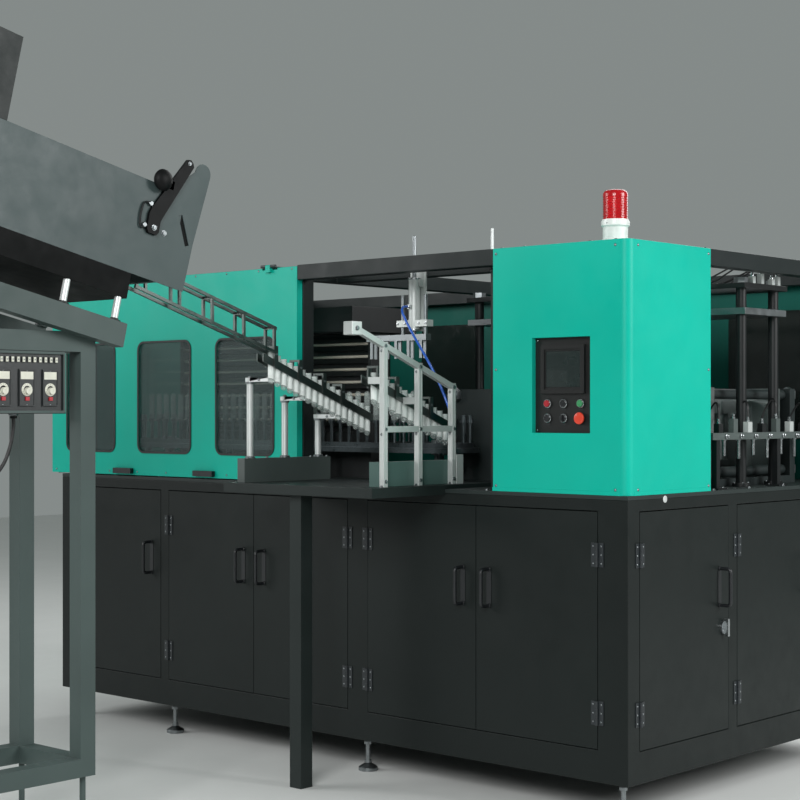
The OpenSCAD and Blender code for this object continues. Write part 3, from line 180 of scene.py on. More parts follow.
# Bare metal: turned, ground or brushed along one axis. Real scratches are near 0.1 mm wide, and
# are drawn some 0.5 mm wide so that they show
def metal(name, code, rough=0.32, grain=(1, 1, 30), size=14, depth=0.1, change=0.16, bare=1):
    streak = (size, 4, 0.6, grain)
    return surface(name, code, (streak, 1-change, 1+change*0.6),
                   ((35, 5, 0.6), rough-0.08, rough+0.12),
                   (streak, depth, 0.0004), {"Metallic": bare})[0]


# Moulded plastic or rubber. The mould's grain is near 0.2 mm, and is drawn at 0.9 mm so that it
# shows
def plastic(name, code, rough=0.45, grain=0.9, depth=0.1, change=0.08, coat=0):
    return surface(name, code, ((30, 4), 1-change, 1+change), ((12, 4), rough-0.05, rough+0.07),
                   ((grain, 2), depth, 0.0003), {"Coat Weight": coat})[0]


# Clear sheet or moulding, as of acrylic: it lets light through and keeps a little colour
def clear(name, code, rough=0.06, alpha=0.35, through=0.6):
    return surface(name, code, ((260, 3), 0.92, 1.08), ((60, 6, 0.65), rough, rough+0.12), None,
                   {"Transmission Weight": through, "Alpha": alpha, "IOR": 1.49}, (0.35, 0.75))[0]


mats = {
    # Satin enamel on welded steel: near black with a green cast, soft broad highlights. It is
    # likely the feeder's paint, drawn darker on the base as painted shade
    "frameGrey": paint("satin paint on steel tube", "#192020", 0.44, change=0.07, gloss=0.28),
    "baseGrey": paint("satin paint on base tube", "#131918", 0.44, change=0.07, gloss=0.24),
    "bedGrey": paint("satin paint on bed plate", "#252d2c", 0.46, gloss=0.3),
    "doorGrey": paint("satin paint on door sheet", "#151b1a", 0.42, change=0.08, gloss=0.24),
    "panelGrey": paint("satin paint on fixed sheet", "#141a19", 0.46, gloss=0.24),
    "tableGrey": paint("satin paint on table sheet", "#1c2322", 0.42, gloss=0.28),
    # The same enamel thinner and duller, where it hardly shines
    "hingeBlack": paint("black paint on hinge steel", "#22272a", 0.38, dust=0.3),
    "tower": paint("black tower paint", "#101314", 0.4, gloss=0.35),
    "boxBlack": paint("black paint on control box", "#0c0f0f", 0.42, gloss=0.2),
    "leverBlack": paint("black paint on lever steel", "#090a0b", 0.5, gloss=0.15),
    # The trough's pan, drawn near black under the trough's grey sides
    "pan": paint("near-black feeder surface", "#060808", 0.6, gloss=0.12),
    "oven": paint("heat-proof black paint", "#121516", 0.55),
    # Sprayed grey and grey-green enamel on sheet and tube: a little lighter, with dusty scuffs. The
    # feeder's grey is likely the base's paint, drawn lighter as painted light where the feeder is
    # better lit
    "feederGrey": paint("grey paint on feeder sheet", "#3c4848", 0.44, change=0.05, gloss=0.3),
    "hopper": paint("grey paint on hopper sheet", "#181f1e", 0.46, gloss=0.25),
    "standGrey": paint("grey paint on stand tube", "#414d4b", 0.44, gloss=0.25),
    "block": paint("grey paint on the posts' block", "#454e4c", 0.46),
    "standPlate": paint("grey-green paint on the bars' plate", "#47605b", 0.46, gloss=0.3),
    "clamp": paint("satin paint on clamp castings", "#262d2d", 0.42, gloss=0.35),
    # Powder coat: even strong colour, fine peel; darker where the covers shade it
    "teal": paint("teal powder coat", "#05ac97", 0.38, 2.2, 0.1, 0.05, 0.05, 0.22),
    "tealInside": paint("shaded teal inside of the covers", "#03564b", 0.5, 2.2, 0.1, 0.05, 0.04,
                        0.2),
    "cabinet": paint("light powder coat", "#a7adab", 0.5),
    "motor": paint("blue-grey motor enamel", "#4d6670", 0.34),
    # Zinc plate and chrome: small bright glints on screws, nuts and rings
    "zinc": metal("zinc-plated steel", "#8d9294", 0.38, (1, 1, 1), 9),
    "collar": metal("chromed collar", "#b4b8ba", 0.2, (1, 1, 1), 5),
    "lockSteel": metal("brushed steel of the lock", "#b9bdbf", 0.25, (1, 1, 8), 6),
    # Machined and ground steel: grey, clean, with long highlights; oiled chain is darker
    "wheel": metal("machined wheel steel", "#8b9092", 0.36, (1, 1, 1), 8, 0.04, 0.06),
    "ground": metal("ground steel shaft", "#a3a9ab", 0.18, (1, 1, 1), 6),
    "chain": metal("oiled chain steel", "#5b6265", 0.34, (1, 1, 1), 8),
    "rail": metal("brushed rail steel", "#5f6563", 0.34, (1, 10, 1), 10),
    # Anodised or bright-dipped aluminium: pale satin, half way to a paint in how it mirrors
    "silver": metal("bright aluminium", "#d2d6d5", 0.42, (1, 1, 12), 10, 0.06, 0.06, 0.55),
    "bar": metal("anodised aluminium bar", "#c6cbc9", 0.48, (1, 1, 14), 10, 0.06, 0.06, 0.5),
    "mould": metal("machined mould aluminium", "#8d9493", 0.36, (10, 1, 1), 8, 0.04, 0.05),
    # Moulded nylon, ABS and rubber: plain colour, faint grain, glossy caps on the buttons
    "black": plastic("black nylon", "#14171a", 0.4),
    "gasket": plastic("black rubber gasket", "#101314", 0.55),
    "panelBlack": plastic("black panel laminate", "#0b0d0d", 0.5),
    "controller": plastic("black controller plastic", "#1b1f20", 0.42),
    "screen": plastic("screen glass", "#232c2b", 0.16, coat=0.5, depth=0),
    "button": plastic("black button plastic", "#1b1d1f", 0.3, coat=0.3),
    "red": plastic("red button plastic", "#a3202a", 0.28, coat=0.3),
    "green": plastic("green button plastic", "#3a8a58", 0.28, coat=0.3),
    "stop": plastic("emergency-stop plastic", "#d8412a", 0.32, coat=0.3),
    "cream": plastic("cream label plastic", "#c9c9bb", 0.5),
    "white": plastic("white beacon plastic", "#dfe2df", 0.35),
    # Painted highlight: the lit upper part of the preforms, drawn white
    "neck": plastic("painted highlight on preform tops", "#dde3e0", 0.3),
    # Drawn cable sheath and hose: matt black rubber, glossy blue polyurethane
    "cable": plastic("black cable rubber", "#0f1011", 0.5),
    "hoseBlue": plastic("blue polyurethane tube", "#1c58b8", 0.22, coat=0.3),
    # Clear and tinted acrylic, quartz and PET: seen through, more so where they are thin
    "lens": clear("red beacon lens", "#c8101a", 0.12, 1, 0.35),
    "window": clear("tinted window sheet", "#5b7070", 0.05, 0.3, 0.5),
    "smoked": clear("smoked window sheet", "#1b211f", 0.08, 0.96, 0),
    "quartz": clear("quartz lamp tube", "#efe9da", 0.15, 0.6, 0.4),
    "preform": clear("clear preform plastic", "#cfd9d6", 0.14, 0.42, 0.5),
    # Painted studio floor: pale, matt, no marks
    "floor": paint("pale studio floor", "#d8dad8", 0.6, 6, 0.02, 0.02, 0),
}
print("materials", len(mats))


# Adds a piece of one mesh that rides on a body; its materials are named in their slots' order
def addPiece(name, bm, materials, body="machine", sharp=32):
    bmesh.ops.recalc_face_normals(bm, faces=bm.faces)
    mesh = bpy.data.meshes.new(name)
    for face in bm.faces:
        face.smooth = True
    bm.to_mesh(mesh)
    bm.free()
    for key in materials.split():
        mesh.materials.append(mats[key])
    mesh.set_sharp_from_angle(angle=math.radians(sharp))
    piece = bpy.data.objects.new(name, mesh)
    bpy.context.scene.collection.objects.link(piece)
    piece.modifiers.new("even normals", "WEIGHTED_NORMAL").keep_sharp = True
    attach(piece, body)
    return piece


# Bevels the edges where a piece turns by more than 30 degrees
def roundEdges(bm, width, segments=2):
    found = [e for e in bm.edges if len(e.link_faces) == 2
             and e.calc_face_angle(0) > math.radians(30)]
    if found:
        bmesh.ops.bevel(bm, geom=found, offset=width, offset_type="OFFSET", segments=segments,
                        profile=0.5, affect="EDGES", clamp_overlap=True, material=-1)


bodyOf = {n: b for b, members in frame["record"]["behaviour"]["bodies"].items() for n in members}


# A piece that stands for a node: it rides the node's body and takes its place
def addShape(name, bm, materials, node, sharp=32):
    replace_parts(addPiece(name, bm, materials, bodyOf[node], sharp), node)


# A node's shape again with its edges broken, as a maker leaves them. Where choose is true of a
# face's middle, in the machine's own millimetres, it has the second material. Cuts part faces at
# planes first
def broken(node, materials, width, segments, choose=None, cuts=()):
    bm = bmesh.new()
    bm.from_mesh(nodes[node].data)
    bmesh.ops.remove_doubles(bm, verts=bm.verts, dist=0.00002)
    bmesh.ops.dissolve_limit(bm, angle_limit=math.radians(0.6), verts=bm.verts, edges=bm.edges)
    for point, normal in cuts:
        bmesh.ops.bisect_plane(bm, geom=bm.verts[:]+bm.edges[:]+bm.faces[:], plane_co=point,
                               plane_no=normal)
    for face in bm.faces:
        middle = (face.calc_center_median()-corner)*1000
        face.material_index = int(choose(middle, face)) if choose else 0
    roundEdges(bm, width, segments)
    addShape(node.replace("_", "-")+"-shape", bm, materials, node)


# Simple solids that a piece is put together from, in metres
def addBox(bm, a, b, index=0):
    low = Vector([min(a[i], b[i]) for i in range(3)])
    high = Vector([max(a[i], b[i]) for i in range(3)])
    made = bmesh.ops.create_cube(bm, size=1)
    bmesh.ops.scale(bm, vec=high-low, verts=made["verts"])
    bmesh.ops.translate(bm, vec=(low+high)/2, verts=made["verts"])
    for face in {f for v in made["verts"] for f in v.link_faces}:
        face.material_index = index


def addRod(bm, a, b, radius, index=0, sides=24):
    a, b = Vector(a), Vector(b)
    made = bmesh.ops.create_cone(bm, cap_ends=True, segments=sides, radius1=radius,
                                 radius2=radius, depth=(b-a).length)
    turn = (b-a).to_track_quat("Z", "Y").to_matrix().to_4x4()
    bmesh.ops.transform(bm, matrix=Matrix.Translation((a+b)/2) @ turn, verts=made["verts"])
    for face in {f for v in made["verts"] for f in v.link_faces}:
        face.material_index = index


# A turned shape: pairs of radius and height, spun about the line from a point along a direction.
# It is spun at the origin and then joined to the piece in its place
def addTurned(bm, start, out, profile, index=0, sides=32):
    turned = bmesh.new()
    line = [turned.verts.new((radius, 0, height)) for radius, height in profile]
    edges = [turned.edges.new(pair) for pair in zip(line, line[1:])]
    bmesh.ops.spin(turned, geom=line+edges, cent=(0, 0, 0), axis=upward, angle=math.tau,
                   steps=sides, use_merge=True)
    bmesh.ops.remove_doubles(turned, verts=turned.verts, dist=1e-7)
    bmesh.ops.holes_fill(turned, edges=[e for e in turned.edges if e.is_boundary])
    for face in turned.faces:
        face.material_index = index
    turn = Vector(out).to_track_quat("Z", "Y").to_matrix().to_4x4()
    turned.transform(Matrix.Translation(start) @ turn)
    mesh = bpy.data.meshes.new("turned")
    turned.to_mesh(mesh)
    turned.free()
    bm.from_mesh(mesh)
    bpy.data.meshes.remove(mesh)


# A hexagon-head screw on a face, its washer under it
def addBolt(bm, at, out, size, index=0, washer=True):
    at, out = Vector(at), Vector(out).normalized()
    if washer:
        disc = [(size*1.15, 0), (size*1.15, size*0.16), (size*0.8, size*0.2)]
        addTurned(bm, at, out, disc, index, 20)
    addRod(bm, at, at+out*size*0.75, size*0.92, index, 6)
    crown = [(size*0.6, 0), (size*0.6, size*0.1), (size*0.5, size*0.16)]
    addTurned(bm, at+out*size*0.7, out, crown, index, 16)


# A round-head screw with a small round dip in its top
def addScrew(bm, at, out, radius, index=0):
    at, out = Vector(at), Vector(out).normalized()
    dome = [(1, 0), (0.97, 0.22), (0.78, 0.46), (0.4, 0.6), (0.14, 0.62), (0.1, 0.4), (0, 0.38)]
    addTurned(bm, at, out, [(radius*u, radius*v) for u, v in dome], index, 18)


# A bar of round section along points, its ends closed
def addSweep(bm, points, radius, index=0, sides=10):
    points = [Vector(p) for p in points]
    normal = None
    rings = []
    for i, point in enumerate(points):
        heading = (points[min(i+1, len(points)-1)]-points[max(i-1, 0)]).normalized()
        if normal is None:
            normal = heading.orthogonal().normalized()
        normal = (normal-heading*normal.dot(heading)).normalized()
        side = heading.cross(normal)
        rings.append([])
        for k in range(sides):
            angle = k*math.tau/sides
            out = normal*math.cos(angle)+side*math.sin(angle)
            rings[-1].append(bm.verts.new(point+out*radius))
    for low, high in zip(rings, rings[1:]):
        for k in range(sides):
            j = (k+1) % sides
            bm.faces.new((low[k], low[j], high[j], high[k])).material_index = index
    bm.faces.new(rings[0]).material_index = index
    bm.faces.new(list(reversed(rings[-1]))).material_index = index


# Points along a path with its corners rounded
def roundPath(points, radius, steps=6):
    points = [Vector(p) for p in points]
    out = [points[0]]
    for a, b, c in zip(points, points[1:], points[2:]):
        before, after = (a-b), (c-b)
        reach = min(radius, before.length*0.48, after.length*0.48)
        start, end = b+before.normalized()*reach, b+after.normalized()*reach
        for k in range(steps+1):
            t = k/steps
            out.append(start*(1-t)**2+b*2*t*(1-t)+end*t**2)
    out.append(points[-1])
    return out


# Draws a face out along a direction, and gives the face that it ends in
def drawOut(bm, face, out):
    made = bmesh.ops.extrude_face_region(bm, geom=[face]+face.edges[:])["geom"]
    bmesh.ops.translate(bm, vec=out, verts=[v for v in made if isinstance(v, bmesh.types.BMVert)])
    return [f for f in made if isinstance(f, bmesh.types.BMFace)][0]


# A plate from its flat outline, thick along a direction
def addPlate(bm, points, thick):
    drawOut(bm, bm.faces.new([bm.verts.new(p) for p in points]), thick)


# A smooth line through points
def smoothLine(points, steps=5):
    points = [Vector(p) for p in points]
    out = []
    for i in range(len(points)-1):
        p0, p1 = points[max(i-1, 0)], points[i]
        p2, p3 = points[i+1], points[min(i+2, len(points)-1)]
        for k in range(steps):
            t = k/steps
            out.append(0.5*((2*p1)+(p2-p0)*t+(2*p0-5*p1+4*p2-p3)*t*t+(3*p1-p0-3*p2+p3)*t**3))
    out.append(points[-1])
    return out


# A cable or hose along its route, in its node's place
def makeCord(name, node, route, radius, material):
    line = smoothLine(route)
    data = bpy.data.curves.new(name, "CURVE")
    data.dimensions = "3D"
    data.bevel_depth = radius
    data.bevel_resolution = 5
    data.use_fill_caps = True
    spline = data.splines.new("POLY")
    spline.points.add(len(line)-1)
    for point, at in zip(spline.points, line):
        point.co = (at.x, at.y, at.z, 1)
    spline.use_smooth = True
    data.materials.append(material)
    piece = bpy.data.objects.new(name, data)
    bpy.context.scene.collection.objects.link(piece)
    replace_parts(piece, node)
    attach(piece, bodyOf[node])
    length = sum((b-a).length for a, b in zip(line, line[1:]))
    return length


def makeCords():
    start, end = Vector(boxGland), Vector(panGland)
    down = [(0, 0, 0), (0, 0, -20), (0, -5, -60), (-1, -17, -104), (-3, -38, -149),
            (-7, -70, -184), (-13, -110, -200), (-19, -152, -198)]
    up = [(50, 98, -718), (44, 68, -680), (38, 47, -630), (32, 32, -570), (26, 22, -500),
          (20, 15, -420), (14, 10, -330), (8, 6, -230), (4, 3, -140), (2, 1, -70), (0, 0, -20),
          (0, 0, 0)]
    route = [place(*(start+Vector(p))) for p in down]+[place(*(end+Vector(p))) for p in up]
    cable = makeCord("controlCable", "control_cable", route, 0.006, mats["cable"])
    start, end = Vector((-1154, 167.5, 1820)), Vector((-876, 115, 1245))
    out = [(0, 0, 0), (0, -15, 0), (2, -31, -2), (7, -44, -8), (15, -55, -17), (26, -64, -30),
           (40, -70, -45), (55, -75, -64), (72, -78, -85), (90, -80, -108), (109, -81, -133),
           (129, -80, -161), (149, -78, -190)]
    down = [(-109, -24, 355), (-90, -21, 324), (-72, -18, 291), (-55, -13, 258), (-40, -10, 225),
            (-26, -7, 191), (-15, -4, 158), (-7, -2, 125), (-2, -1, 92), (0, 0, 60), (0, 0, 15),
            (0, 0, 0)]
    route = [place(*(start+Vector(p))) for p in out]+[place(*(end+Vector(p))) for p in down]
    hose = makeCord("airHose", "air_hose", route, 0.005, mats["hoseBlue"])
    print("cords", round(cable, 3), round(hose, 3))


makeCords()


# Base cabinet
door = {"z0": 240, "z1": 1065, "gap": 3, "depth": 20, "sheet": 2, "hinges": (86, 632),
        "hingeLength": 84, "pullUp": 528, "pullIn": 62, "pull": 150, "reach": 54, "sideWidth": 575,
        "sidePitch": 635}
frontHinges = [126, 1218, 1326, 2409, 3063]
frontMirror = [True, False, True, False, False]
frontWidths = [546, 546, 541.5, 541.5, 600]


def frontPlace(i):
    return lambda x, y, z: place(-frontHinges[i]+(-x if frontMirror[i] else x), y, door["z0"]+z)


def sidePlace(i):
    return lambda x, y, z: place(-y, 70+i*door["sidePitch"]+x, door["z0"]+z)


# A door: folded sheet, its moving hinge leaves and its bow pull
def makeDoor(name, node, to, width):
    d = door
    high = d["z1"]-d["z0"]
    half = d["gap"]/2
    bm = bmesh.new()
    gap, s = d["gap"], d["sheet"]
    outline = [(half, gap), (width-half, gap), (width-half, high-gap), (half, high-gap)]
    sheet = bm.faces.new([bm.verts.new(to(x, 0, z)) for x, z in outline])
    back = drawOut(bm, sheet, along(to, 0, d["depth"], 0))
    bmesh.ops.inset_individual(bm, faces=[back], thickness=s*0.001, use_even_offset=True)
    drawOut(bm, back, along(to, 0, s-d["depth"], 0))
    # Stiffening channel across the inside, and the pull's two nuts
    addBox(bm, to(half+40, s, high*0.5-24), to(width-half-40, s+13, high*0.5+24), 0)
    third = d["hingeLength"]/3
    for up in d["hinges"]:
        addRod(bm, to(0, -6, up+third), to(0, -6, up+2*third-1), 0.006, 1, 20)
        addBox(bm, to(3.2, -3, up), to(26, -0.05, up+d["hingeLength"]-0.5), 1)
        for z in (12, d["hingeLength"]/2, d["hingeLength"]-12):
            addScrew(bm, to(17, -3, up+z), along(to, 0, -1, 0), 0.0034, 3)
    x, mid, reach = width-d["pullIn"], d["pullUp"], d["reach"]
    tall = d["pull"]/2
    foot, head = mid-tall+8, mid+tall-8
    grip = [to(x, -1, foot), to(x, -reach+7, foot), to(x, -reach+7, head), to(x, -1, head)]
    addSweep(bm, roundPath(grip, 0.016), 0.0066, 2, 14)
    for z in (foot, head):
        addTurned(bm, to(x, 0, z), along(to, 0, -1, 0),
                  [(0.0088, 0), (0.0088, 0.004), (0.0074, 0.0055)], 2, 20)
        addBolt(bm, to(x, s, z), along(to, 0, 1, 0), 0.005, 3)
    # The pull's back plate
    addBox(bm, to(x-11, -1.6, mid-tall+14), to(x+11, -0.02, mid+tall-14), 2)
    addShape(name, bm, "doorGrey hingeBlack black zinc", node)


def makeDoors():
    for i in range(5):
        makeDoor(f"frontDoor{i+1}", f"front_door_{i+1}", frontPlace(i), frontWidths[i])
    for i in range(2):
        makeDoor(f"sideDoor{i+1}", f"side_door_{i+1}", sidePlace(i), door["sideWidth"])
    print("doors")


makeDoors()


# Height of a lane's rails at a place along it
def laneTop(y, high=highLane):
    return high-y*math.tan(laneSlope)


# The upper part of a preform on a lane catches the light and is drawn white as a painted highlight,
# the rest is clear
highlightDepth = 75
lean = Vector((0, math.sin(laneSlope), math.cos(laneSlope)))
highlightCuts = [(place(0, 0, high-highlightDepth), lean) for high in (highLane, lowLane)]


def inPreformHighlight(c, f):
    return c.y <= 300 and -3 < laneTop(c.y, highLane if c.x < -1200 else lowLane)-c.z < highlightDepth


# The pan is what lies under the trough's own floor; it is drawn near black, darker than the
# trough's sides
def isPan(c, f):
    return (c.z-feeder["z"])*math.cos(slope)+(c.y+feeder["y"])*math.sin(slope) < -2


# Nodes drawn with broken edges: materials, edge width in millimetres and its segments, where the
# second material goes, and cuts
shapes = [
    ("base_frame", "baseGrey", 2.5, 3),
    ("bed_plate", "bedGrey", 1.5, 2),
    ("levelling_feet", "zinc", 1.2, 2),
    ("fixed_panels", "panelGrey", 0.5, 1),
    ("hinge_leaves", "hingeBlack", 0.4, 1),
    ("side_door_lock", "lockSteel", 0.8, 2),
    ("electrical_cabinet", "cabinet", 1.2, 2),
    ("drive_motor", "motor", 1.5, 2),
    ("control_housing", "teal", 2.2, 3),
    ("top_frame", "frameGrey", 2.5, 3),
    ("oven_guard", "teal black", 1.2, 2,
     lambda c, f: c.y < -0.5 and c.z < 1160),
    ("guard_windows", "window", 0.6, 1),
    ("rear_guard", "teal tealInside", 1, 2,
     lambda c, f: (f.normal.y < -0.5 or f.normal.x > 0.5) and c.z < 1998),
    ("rear_windows", "smoked", 0.6, 1),
    ("oven_housing", "oven", 1, 1),
    ("heater_lamps", "quartz", 0.6, 1),
    ("chain_track", "chain", 0.6, 1),
    ("drive_wheel", "wheel", 1, 2),
    ("idler_wheel", "wheel", 1, 2),
    # Preforms: clear below, with a painted highlight drawn white on their upper part
    ("preforms", "preform neck", 0.4, 1, inPreformHighlight, highlightCuts),
    ("infeed_table", "tableGrey", 1, 2),
    ("lane_posts", "silver block", 1, 2, lambda c, f: c.z < 1228),
    ("lane_rails", "rail", 0.6, 1),
    ("rail_stand", "bar standPlate", 1.2, 2, lambda c, f: c.z < 1232 and c.x < -868.5),
    ("loader_cylinder", "bar", 1.2, 2),
    ("loader_gripper", "wheel", 0.8, 2),
    ("clamp_frame", "clamp", 2, 2),
    ("mould_half_front", "mould", 1, 2),
    ("mould_half_rear", "mould", 1, 2),
    ("stretch_tower", "tower", 1.2, 2),
    ("stretch_carriage", "wheel", 1, 2),
    ("feeder_trough", "feederGrey pan", 1, 2, isPan,
     [(tilted(0, 0, -0.5), along(tilted, 0, 0, 1))]),
    ("feeder_stand", "standGrey", 2.2, 3),
    ("feeder_hopper", "hopper", 1, 2),
    ("feed_roller_1", "ground", 1, 2),
    ("feed_roller_2", "ground", 1, 2),
    ("feeder_control_box", "boxBlack controller", 0.8, 2,
     lambda c, f: -1206.5 < c.x < -1200.5 and c.z < 1580),
    ("speed_knob_1", "cream", 0.6, 2),
    ("speed_knob_2", "cream", 0.6, 2),
    ("speed_knob_3", "cream", 0.6, 2),
    ("hmi_panel", "panelBlack", 0.8, 2),
    ("touch_screen", "screen", 0.6, 2),
    ("stop_button", "red", 1, 3),
    ("reset_button", "button", 1, 3),
    ("start_button", "green", 1, 3),
    ("jog_button", "button", 1, 3),
    ("mode_selector", "button", 1, 3),
]

for node, materials, width, segments, *rest in shapes:
    broken(node, materials, width*0.001, segments, *rest)
print("node shapes")


# Operator housing: screws, panel trim, buttons and beacon
panel = {"mid": 285.5, "columns": (355.5, 285.5, 211.5), "rows": (1437, 1385),
         "screenLow": 1472, "screenHigh": 1644, "screenWidth": 190}


# Outline of a rectangle with round corners
def roundRing(middle, width, height, radius, steps=6):
    points = []
    for k, (sx, sz) in enumerate(((1, 1), (-1, 1), (-1, -1), (1, -1))):
        for j in range(steps+1):
            angle = math.radians(90*k+90*j/steps)
            points.append((middle[0]+sx*(width/2-radius)+radius*math.cos(angle),
                           middle[1]+sz*(height/2-radius)+radius*math.sin(angle)))
    return points


# A frame of flat section round a window or screen: its outline in x and z, from y0 to y1
def addFrame(bm, to, middle, width, height, radius, border, y0, y1, index):
    outer = roundRing(middle, width, height, radius)
    inner = roundRing(middle, width-2*border, height-2*border, max(radius-border, 1))
    rings = [[bm.verts.new(to(x, y, z)) for x, z in ring] for ring, y in
             ((outer, y0), (outer, y1), (inner, y1), (inner, y0))]
    for a, b in zip(rings, rings[1:]+rings[:1]):
        for k in range(len(outer)):
            j = (k+1) % len(outer)
            bm.faces.new((a[k], a[j], b[j], b[k])).material_index = index


def makeHousing():
    bm = bmesh.new()
    for x, y in ((-458, 15), (-167, 15), (-560, 15), (-60, 15), (-15, 162), (-15, 417), (-15, 490)):
        addScrew(bm, place(x, y, machine["top"]), upward, 0.0065)
    for x, z in ((-577, 1140), (-577, 1980), (-52, 1140), (-52, 1980), (-577, 1560)):
        addScrew(bm, place(x, 0, z), frontward, 0.005)
    for y, z in ((508, 1140), (508, 1980), (508, 1560), (60, 1140), (60, 1980)):
        addScrew(bm, place(0, y, z), sideward, 0.005)
    addPiece("housingScrews", bm, "zinc")

    # Folded flange where the housing stands on the bed
    low, high = machine["bed"], machine["bed"]+14
    bm = bmesh.new()
    addBox(bm, place(-594, -1.2, low), place(-30, 0.4, high))
    addBox(bm, place(-0.4, 36, low), place(1.2, 523, high))
    roundEdges(bm, 0.0005, 1)
    addPiece("housingFlange", bm, "teal")

    print("housing")


# Panel: rim of the screen, key caps under it, collars and labels of the buttons, screws, and
# the emergency stop's mushroom head
def makePanel():
    p = panel
    lastColumn, lastRow = p["columns"][2], p["rows"][1]
    collar = [(0.0164, 0), (0.0164, 0.0022), (0.0152, 0.0034), (0.0126, 0.0034), (0.0126, 0)]
    bm = bmesh.new()
    middle = (-p["mid"], (p["screenLow"]+p["screenHigh"])/2)
    tall = p["screenHigh"]-p["screenLow"]
    addFrame(bm, place, middle, p["screenWidth"], tall, 7, 15, 12, 8.5, 0)
    for k in range(6):
        x = -p["mid"]-60+k*24
        addBox(bm, place(x-8, 10.5, p["screenLow"]+6), place(x+8, 12.2, p["screenLow"]+16), 1)
    for column in p["columns"]:
        for row in p["rows"]:
            if column == lastColumn and row == lastRow:
                continue
            addTurned(bm, place(-column, 16.2, row), frontward, collar, 2, 32)
            addBox(bm, place(-column-11, 19, row-24), place(-column+11, 20.1, row-18), 1)
    for x in (-168, -403):
        for z in (1342, 1661):
            addScrew(bm, place(x, 20, z), frontward, 0.0032, 2)
    addPiece("panelTrim", bm, "panelBlack controller collar")
    bm = bmesh.new()
    mushroom = [(0, 0), (0.0112, 0), (0.0112, 0.0047), (0.0196, 0.0047), (0.021, 0.006),
                (0.021, 0.0092), (0.0201, 0.0112), (0.0176, 0.0124), (0.012, 0.013),
                (0.006, 0.0132), (0, 0.0132)]
    addTurned(bm, place(-lastColumn, 15.9, lastRow), frontward, mushroom, 0, 40)
    addShape("emergencyStop", bm, "stop", "emergency_stop")
    print("panel")


# Beacon: a ribbed lens over a white base
def makeBeacon():
    b = {"x": -140, "y": 125, "z": machine["top"], "base": 82, "ribs": 9, "pitch": 0.0085}
    bm = bmesh.new()
    profile = [(0.044, 0)]
    for k in range(b["ribs"]):
        h = 0.004+k*b["pitch"]
        profile += [(0.044, h), (0.0428, h+0.0012), (0.0428, h+0.0055), (0.044, h+0.0068)]
    profile += [(0.044, 0.085), (0.043, 0.0925), (0.0395, 0.0985), (0.033, 0.1025), (0.022, 0.1045),
                (0, 0.105)]
    addTurned(bm, place(b["x"], b["y"], b["z"]+b["base"]), upward, profile, 0, 48)
    addShape("beaconLens", bm, "lens", "beacon_lens", 40)
    bm = bmesh.new()
    at = place(b["x"], b["y"], b["z"])
    base = [(0.046, 0), (0.047, 0.002), (0.047, 0.012), (0.044, 0.015), (0.044, 0.052),
            (0.0455, 0.056), (0.05, 0.06), (0.05, 0.0745), (0.049, 0.077), (0.047, 0.0775),
            (0.047, 0.082), (0.04, 0.082)]
    addTurned(bm, at, upward, base, 0, 48)
    for k in range(3):
        angle = math.radians(30+120*k)
        out = Vector((math.cos(angle), math.sin(angle), 0))
        addScrew(bm, at+out*0.0495+Vector((0, 0, 0.0675)), out, 0.0028, 1)
    addShape("beaconBase", bm, "white zinc", "beacon_base", 40)
    print("beacon")


# Covers: rubber profiles round the windows, and screws; the rear cover's run along its long
# side and its short one, and along the lips on top
def makeCovers():
    screw, guardPitch, rearPitch, sidePitch = 0.0042, 197, 199, 222
    rear = machine["rear"]
    bm = bmesh.new()
    for k in (-1, 0, 1):
        addFrame(bm, place, (-(2442+k*518), 1470), 362, 494, 41, 9, 0, -3.2, 0)
    addPiece("windowGaskets", bm, "gasket", "oven_guard")
    bm = bmesh.new()
    for z in (1986, 1140):
        for k in range(9):
            addScrew(bm, place(-1640-k*guardPitch, 0, z), frontward, screw)
    addPiece("guardScrews", bm, "zinc", "oven_guard")
    bm = bmesh.new()
    for m in (450, 1050, 1650, 2250, 2850):
        addFrame(bm, place, (-m, 1565), 374, 544, 41, 9, rear, rear+2.8, 0)
    addPiece("rearGaskets", bm, "gasket")
    bm = bmesh.new()
    for k in range(17):
        for z in (1140, 1985):
            addScrew(bm, place(-30-k*rearPitch, rear, z), rearward, screw)
    for k in range(8):
        for z in (1140, 1985):
            addScrew(bm, place(machine["end"], 70+k*sidePitch, z), (-1, 0, 0), screw)
    lip = machine["top"]+3
    for k in range(17):
        addScrew(bm, place(-30-k*rearPitch, rear-20, lip), upward, screw)
    for k in range(8):
        addScrew(bm, place(machine["end"]+15, 70+k*sidePitch, lip), upward, screw)
    addPiece("rearScrews", bm, "zinc")
    print("covers")


# Base: bolts along the bed, which go round the infeed, and screws of the fixed hinge leaves
def makeBaseDetails():
    bm = bmesh.new()
    for k in range(9):
        x = -640-k*310
        addBolt(bm, place(x, 290 if -1630 < x < -800 else 24, machine["bed"]), upward, 0.007)
    for k in range(5):
        addBolt(bm, place(-24, 580+k*250, machine["bed"]), upward, 0.007)
    for to in [frontPlace(i) for i in range(5)]+[sidePlace(i) for i in range(2)]:
        for up in door["hinges"]:
            for z in (12, 42, 72):
                addScrew(bm, to(-17, -3, up+z), along(to, 0, -1, 0), 0.0034)
    addPiece("baseBolts", bm, "zinc")

    # Sockets on the feet's plates, and lock nuts on their spindles
    socket = [(0.0375, 0), (0.034, 0.004), (0.02, 0.012), (0.014, 0.016), (0.0095, 0.018)]
    bm = bmesh.new()
    for x in (60, 1272, 2436, 3113):
        for y in (60, 1640):
            at = place(-x, y, 0)
            addTurned(bm, at+Vector((0, 0, 0.012)), upward, socket, 0, 32)
            addRod(bm, at+Vector((0, 0, 0.03)), at+Vector((0, 0, 0.041)), 0.015, 0, 6)
    addPiece("feetNuts", bm, "zinc")
    print("base details")


